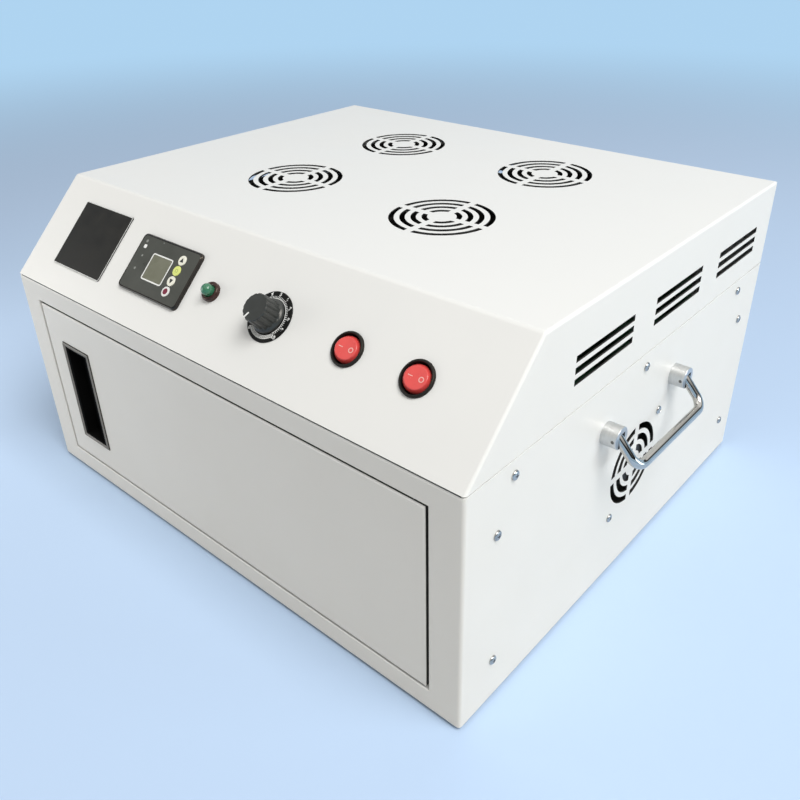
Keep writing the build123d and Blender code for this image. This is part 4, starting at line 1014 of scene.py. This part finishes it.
# Dial. A black printed plate lies under the knob; its scale from 0 to 10 goes three quarters
# of the way round, and a hatched band fills the rest.
SCALE_START, SCALE_SWEEP = 225.0, 270.0
ARC = 12.75
DISC = ((17.7, 0), (17.7, 0.55), (17.55, 0.7), (17.2, 0.8), (3.3, 0.8), (3.3, 0.0))
BAND_START = SCALE_START - SCALE_SWEEP
HATCHES = {"Count": 27, "Sweep": 82.0, "Length": 2.3, "Long_Length": 2.3, "Width": 0.40}
DIGITS_OUT, DIGIT_SIZE = 15.9, 3.5

dial_black = finish(
    "dial_black", (0.007, 0.007, 0.007), (0.011, 0.011, 0.010), (0.45, 0.58), patch=10,
    grain=(0.5, 0.004), Specular_IOR_Level=0.10,
)
at_dial = on_slope(DIAL_AT)
disc = turned("dial_disc", DISC, 96, dial_black, at_dial, closed=True)
dress(smooth(disc), "cabinet", "black_plate", "dial_plate")


def tick_tree():
    """Tree for the marks of a round scale, where every fifth one is longer."""
    sizes = {
        "Count": ("Int", 51), "Start": ("Float", 225.0), "Sweep": ("Float", 270.0), "Every": ("Int", 5),
        "Inner Radius": ("Float", 13.0), "Length": ("Float", 1.25), "Long Length": ("Float", 1.7),
        "Width": ("Float", 0.42),
    }
    tree, given = node_tree("scale_ticks", sizes)
    points, index = numbered(tree, given["Count"])
    gaps = calculate(tree, "SUBTRACT", given["Count"], 1.0)
    swept = calculate(tree, "MULTIPLY", calculate(tree, "DIVIDE", index, gaps), given["Sweep"])
    turn = calculate(tree, "SUBTRACT", given["Start"], swept)
    turn = calculate(tree, "MULTIPLY", turn, math.pi / 180)
    rest = calculate(tree, "MODULO", index, given["Every"])
    is_long = calculate(tree, "LESS_THAN", rest, 0.5)
    extra = calculate(tree, "SUBTRACT", given["Long Length"], given["Length"])
    extra = calculate(tree, "MULTIPLY", is_long, extra)
    length = calculate(tree, "ADD", given["Length"], extra)
    mark = add_node(tree, "GeometryNodeMeshCube", {"Size": (1, 1, 0.1)}).outputs[0]
    mark = add_node(tree, "GeometryNodeTransform", {0: mark, "Translation": (0.5, 0, 0)}).outputs[0]
    reach = vector(tree, calculate(tree, "COSINE", turn), calculate(tree, "SINE", turn), 0.0)
    reach = {0: reach, "Scale": given["Inner Radius"]}
    reach = add_node(tree, "ShaderNodeVectorMath", reach, operation="SCALE").outputs[0]
    set_out = add_node(tree, "GeometryNodeSetPosition", {0: points, "Position": reach}).outputs[0]
    turned, size = vector(tree, 0.0, 0.0, turn), vector(tree, length, given["Width"], 1.0)
    return end_tree(tree, given, copies(tree, set_out, mark, Rotation=turned, Scale=size))


at_print = at_dial @ Matrix.Translation((0, 0, 0.79))
scale_ticks = tick_tree()
ticks = grown("dial_ticks", scale_ticks, at_print, Material=print_white)
dress(ticks, "cabinet", "black_plate")
hatching = grown(
    "dial_hatching", scale_ticks, at_print, Start=BAND_START - 4, Inner_Radius=ARC, Material=print_white,
    **HATCHES,
)
dress(hatching, "cabinet", "black_plate")


def arc_line(name, radius, line, start, sweep):
    """Thin printed arc of a circle."""
    section = ((radius, 0.0), (radius, 0.05), (radius + line, 0.05), (radius + line, 0.0))
    rings = []
    for step in range(int(sweep / 3) + 1):
        turn = math.radians(start - 3 * step)
        rings.append([(r * math.cos(turn), r * math.sin(turn), z) for r, z in section])
    dress(lofted(name, rings, print_white, at_print), "cabinet", "black_plate")


def as_mesh(name, curve, material):
    """Mesh object with a text's shape; the text is removed."""
    bpy.context.view_layer.update()
    graph = bpy.context.evaluated_depsgraph_get()
    mesh = bpy.data.meshes.new_from_object(curve.evaluated_get(graph), depsgraph=graph)
    mesh.materials.clear()
    mesh.materials.append(material)
    bpy.data.objects.remove(curve)
    return link(name, mesh)


arc_line("dial_arc", ARC - 0.3, 0.45, SCALE_START, SCALE_SWEEP)
arc_line("dial_band_edge", ARC + 2.2, 0.35, BAND_START - 3, 84)
digits = []
for number in range(11):
    curve = bpy.data.curves.new(f"digit_{number}", "FONT")
    curve.body = str(number)
    curve.size, curve.offset, curve.extrude = DIGIT_SIZE, 0.10, 0.03
    curve.align_x, curve.align_y = "CENTER", "CENTER"
    angle = math.radians(SCALE_START - SCALE_SWEEP * number / 10)
    digit = as_mesh(f"digit_{number}", link(f"digit_{number}_curve", curve), print_white)
    spot = (DIGITS_OUT * math.cos(angle), DIGITS_OUT * math.sin(angle), 0.03)
    digit.data.transform(Matrix.Translation(spot))
    digits.append(digit)
digits = joined("dial_digits", digits)
digits.data.transform(at_print)
dress(digits, "cabinet", "black_plate")

# Knob. Dark grey moulding with a smooth skirt, sixteen shallow flutes and a white line that
# points to the lower left at rest.
KNOB_FLUTES = 16
POINTER_AT = 243.0
POINTER, POINTER_OUT, POINTER_LEVELS = (4.4, 1.15, 0.2), 7.3, (15.3, 15.86)
KNOB = (
    (11.2, 0, 1.4), (12.0, 0, 1.5), (12.0, 0, 2.4), (11.8, 0, 3.1), (11.3, 0, 3.6), (10.7, 0.0, 4.0),
    (10.5, 0.75, 5.0), (9.75, 0.75, 14.8), (9.6, 0.6, 15.4), (9.2, 0.3, 15.8), (8.8, 0.0, 15.8),
    (8.5, 0.0, 15.7),
)


def fluted(radius, depth, z, steps=192):
    """Ring of points around a knob whose rounded grips are parted by narrow flutes."""
    points = []
    for i in range(steps):
        angle = 2 * math.pi * i / steps
        out = radius - depth * (0.5 + 0.5 * math.cos(KNOB_FLUTES * angle)) ** 3
        points.append((out * math.cos(angle), out * math.sin(angle), z))
    return points


knob_plastic = finish(
    "knob_plastic", (0.028, 0.032, 0.031), (0.037, 0.042, 0.041), (0.26, 0.36), patch=8,
    grain=(0.35, 0.006), Specular_Tint=(1.0, 0.94, 0.88, 1),
)
knob = lofted("dial_knob_moulding", [fluted(*row) for row in KNOB], knob_plastic, at_dial)
dress(smooth(knob, 40), "knob", "dark_plastic", "dial_knob")
at_pointer = at_dial @ Matrix.Rotation(math.radians(POINTER_AT), 4, "Z")
rings = [moved(outline(*POINTER, z), POINTER_OUT) for z in POINTER_LEVELS]
dress(lofted("knob_pointer", rings, print_white, at_pointer), "knob", "white_plastic")

# Rocker switches. Round black snap-in bodies hold red rockers with hollowed faces, marked
# with a line on the left and a ring on the right, which is pressed in at rest.
ROCKER_TIP = 9.0
BODY = (
    (10.5, -18.0), (10.5, -0.05), (11.45, 0.0), (11.45, 0.9), (11.3, 1.4), (10.9, 1.85), (10.4, 2.0),
    (10.0, 1.9), (9.75, 1.5), (9.7, 0.6), (9.7, -7.0),
)
ROCKER = (
    (8.7, -3.2), (8.3, -2.2), (7.7, -1.2), (7.25, -0.5), (7.0, -0.15), (6.8, -0.02), (6.6, 0), (5.6, 0),
    (4.4, 0), (3.0, 0), (1.6, 0), (0.2, 0),
)
RING_AT, RING = 3.6, ((1.7, -0.03), (1.7, 0.04), (1.15, 0.04), (1.15, -0.03))
BAR_AT = (-5.2, -4.7, -4.2, -3.7, -3.2, -2.7, -2.2)
BAR = ((-0.24, -0.03), (0.24, -0.03), (0.24, 0.04), (-0.24, 0.04))

red_plastic = finish(
    "red_plastic", (0.76, 0.078, 0.070), (0.72, 0.068, 0.062), (0.20, 0.30), patch=6,
    grain=(0.4, 0.002), Coat_Weight=0.3, Coat_Roughness=0.1,
)
print_pink = ink("print_pink", (0.86, 0.50, 0.45), (0.80, 0.44, 0.40))


def hollow(x, radius=8.7):
    """Height of a rocker's face over its trunnions."""
    return 2.5 + 1.15 * (x / radius) ** 2


def face_ring(radius, x_shift, lift, steps):
    """Ring of points that lies on a rocker's face."""
    return [(x + x_shift, y, hollow(x + x_shift) + lift) for x, y, z in circle(radius, 0, steps)]


for number, from_left in enumerate(ROCKERS_AT, start=1):
    spot = on_slope(from_left)
    body = turned(f"switch_bezel_{number}", BODY, 72, black_plastic, spot)
    dress(smooth(body, 40), "cabinet", "black_plastic", f"switch_body_{number}")
    tipped = spot @ Matrix.Rotation(math.radians(ROCKER_TIP), 4, "Y")
    rings = [circle(8.7, -4.0, 64)] + [face_ring(radius, 0, lift, 64) for radius, lift in ROCKER]
    rocker = smooth(lofted(f"rocker_{number}_moulding", rings, red_plastic, tipped), 40)
    dress(rocker, f"rocker_{number}", "red_plastic", f"switch_rocker_{number}")
    bm = bmesh.new()
    loft(bm, [face_ring(r, RING_AT, lift, 40) for r, lift in RING], closed=True)
    loft(bm, [[(x, y, hollow(x) + lift) for y, lift in BAR] for x in BAR_AT])
    dress(make(f"rocker_{number}_marks", bm, print_pink, tipped), f"rocker_{number}", "white_plastic")

# Feet. Four moulded rubber buttons lift the base 3 mm off the table. Their lower edges are
# rounded off.
FEET_AT = (198, 168)
FOOT = ((10.2, 0), (10.8, 0.3), (11.0, 0.9), (11.0, 3.0))

black_rubber = finish(
    "black_rubber", (0.020, 0.020, 0.021), (0.032, 0.032, 0.033), (0.70, 0.85), patch=6, grain=(0.3, 0.02)
)
bm = bmesh.new()
for x in (-FEET_AT[0], FEET_AT[0]):
    for y in (-FEET_AT[1], FEET_AT[1]):
        loft(bm, [moved(circle(r, z, 40), x, y) for r, z in FOOT])
dress(smooth(make("rubber_feet", bm, black_rubber)), "cabinet", "black_rubber", "feet")

# Mains inlet. A black moulded flange is screwed to the rear panel. Its three-pin socket has
# two chamfered corners at the top.
INLET_AT = (160.0, 200.0, 49.0)
FLANGE = ((50, 28, 4.0, 0), (50, 28, 4.0, 2.3), (49.4, 27.4, 3.7, 2.8), (48.6, 26.6, 3.3, 3.0))
SHROUD = ((27.2, 19.7, 0.6, -17.0), (27.2, 19.7, 0.6, 0.5))
SOCKET = ((0, -15.4), (0, 2.4), (0.7, 3.1), (0.7, 4.0))
PINS_AT = ((-7, -2), (7, -2), (0, 2))
PIN = ((2, 4, 0.3, -15.5), (2, 4, 0.3, -5.2), (1.2, 3.2, 0.3, -4.4))

at_inlet = placed(INLET_AT, (-1, 0, 0), (0, 1, 0))


def socket_ring(grow, z):
    """Outline of the socket, with two chamfered corners at its top."""
    x, y, cut = 12.0 + grow, 8.25 + grow, 4.5 + 0.6 * grow
    return [(x, y - cut, z), (x - cut, y, z), (cut - x, y, z), (-x, y - cut, z), (-x, -y, z), (x, -y, z)]


inlet = moulded("inlet_moulding", FLANGE, black_plastic, at_inlet)
boolean(inlet, moulded("inlet_shroud", SHROUD, black_plastic, at_inlet), "UNION")
rings = [socket_ring(*row) for row in SOCKET]
boolean(inlet, lofted("inlet_socket", rings, black_plastic, at_inlet))
dress(smooth(inlet), "cabinet", "black_plastic", "power_inlet")
bm = bmesh.new()
for x, y in PINS_AT:
    loft(bm, [moved(outline(*row), x, y) for row in PIN])
dress(make("inlet_pins", bm, zinc_steel, at_inlet), "cabinet", "zinc_steel")

# Fans. Seven twisted blades stand around the plain hub of each rotor, and are seen through
# the grilles. The frames keep the form that the source gives them, in the same black plastic.
TOP_FAN_BACK, FAN_DEPTH = 217.0, 25.0
HUB = ((17, 2.8), (17, 23.6), (16.6, 24.6), (15.6, 25.0))
BLADE_ROOT, BLADE_HEIGHT, BLADE_HALF = 16.0, 13.4, 0.55
CHORD, CHORD_SWELL, CAMBER = 9.5, 1.5, 1.6
PITCH, PITCH_LOST = 42, 16
TIP_GAP = 2.9


def blade(tip):
    """Curved and twisted blade, in the rotor's own millimetres, with the hub on z."""
    front = [(k / 8 * 2 - 1, BLADE_HALF) for k in range(9)]
    section = front + [(s, -thick) for s, thick in reversed(front)]
    rings = []
    for i in range(9):
        share = i / 8
        radius = BLADE_ROOT + (tip - BLADE_ROOT) * share
        chord = CHORD + CHORD_SWELL * math.sin(math.pi * share)
        pitch = math.radians(PITCH - PITCH_LOST * share)
        points = []
        for s, thick in section:
            camber = CAMBER * (1 - s * s)
            turn = s * chord * math.cos(pitch) / radius
            rise = s * chord * math.sin(pitch) * 0.8 + camber + thick * (1 - 0.6 * s * s)
            points.append((radius * math.cos(turn), radius * math.sin(turn), rise + BLADE_HEIGHT))
        rings.append(points)
    return lofted("fan_blade", rings, black_plastic, AS_DRAWN)


def rotor_tree():
    """Tree that sets a fan's blades around its hub."""
    tree, given = node_tree("fan_rotor", {"Blade": ("Object", None), "Blades": ("Int", 7)})
    points, index = numbered(tree, given["Blades"])
    turn = calculate(tree, "MULTIPLY", calculate(tree, "DIVIDE", index, given["Blades"]), math.tau)
    blade_in = add_node(tree, "GeometryNodeObjectInfo", {"Object": given["Blade"]}).outputs["Geometry"]
    blades = copies(tree, points, blade_in, Rotation=vector(tree, 0.0, 0.0, turn))
    together = add_node(tree, "GeometryNodeJoinGeometry")
    for geometry in (blades, given["Geometry"]):
        tree.links.new(geometry, together.inputs[0])
    return end_tree(tree, given, together.outputs[0])


fan_rotor = rotor_tree()
fans = []
for number, (x, y) in enumerate(TOP_GRILLES, start=1):
    place = placed((x, y, TOP_FAN_BACK), (1, 0, 0), (0, 0, 1))
    fans.append((f"top_fan_{number}", place, 80.0, f"top_fan_rotor_{number}"))
for side, name in ((1, "right"), (-1, "left")):
    place = placed((side * (inner - FAN_DEPTH), 0, FAN_HEIGHT), (0, 1, 0), (side, 0, 0))
    fans.append((f"side_fan_{name}", place, 70.0, f"side_fan_rotor_{name}"))
for body, place, size, node in fans:
    part = blade(size / 2 - TIP_GAP)
    hub = turned("fan_hub", HUB, 48, black_plastic, AS_DRAWN)
    rotor = grown(f"{body}_rotor", fan_rotor, place, hub.data.copy(), Blade=part, Material=black_plastic)
    for spare in (part, hub):
        bpy.data.objects.remove(spare)
    dress(smooth(rotor, 35), body, "black_plastic", node)
paint_nodes(black_plastic, "top_fan_frames", "side_fan_frames")

# Inside. A bright liner under a glass window and its lamp boards, between zinc-plated
# bulkheads; above the deck stand the heat sinks, the supply and the driver boards.
bright_aluminium = finish(
    "bright_aluminium", (0.82, 0.825, 0.83), (0.78, 0.785, 0.79), (0.38, 0.46), patch=4, grain=(0.5, 0.003),
    stretch=(1, 0.08, 1), Metallic=1.0,
)
green_board = finish(
    "green_board", (0.012, 0.055, 0.025), (0.018, 0.075, 0.034), (0.35, 0.5), patch=5, grain=(0.6, 0.006)
)
magnet_grey = finish(
    "magnet", (0.09, 0.09, 0.092), (0.12, 0.12, 0.122), (0.35, 0.5), patch=5, grain=(0.3, 0.004),
    Metallic=0.6,
)
foam_rubber = finish(
    "foam_rubber", (0.028, 0.028, 0.030), (0.045, 0.045, 0.047), (0.8, 0.95), patch=4, grain=(0.5, 0.08)
)
clear_glass = finish(
    "clear_glass", (0.93, 0.96, 0.955), (0.91, 0.95, 0.945), (0.02, 0.05), patch=60, grain=(5.0, 0.001),
    Transmission_Weight=1.0, IOR=1.47,
)
paint_nodes(bright_aluminium, "chamber_liner", "window_frame", "heat_sinks", "power_supply")
paint_nodes(zinc_steel, "base_plate", "front_bulkhead", "rear_bulkhead", "equipment_deck")
paint_nodes(zinc_steel, "pivot_pins", "potentiometer", "potentiometer_shaft")
paint_nodes(green_board, "lamp_boards", "driver_boards")
paint_nodes(black_plastic, "pivot_bushes", "interlock_sensor", "timer_case")
paint_nodes(magnet_grey, "catch_magnets", "interlock_magnet")
paint_nodes(foam_rubber, "door_seal")
paint_nodes(clear_glass, "lamp_window")

low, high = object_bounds()
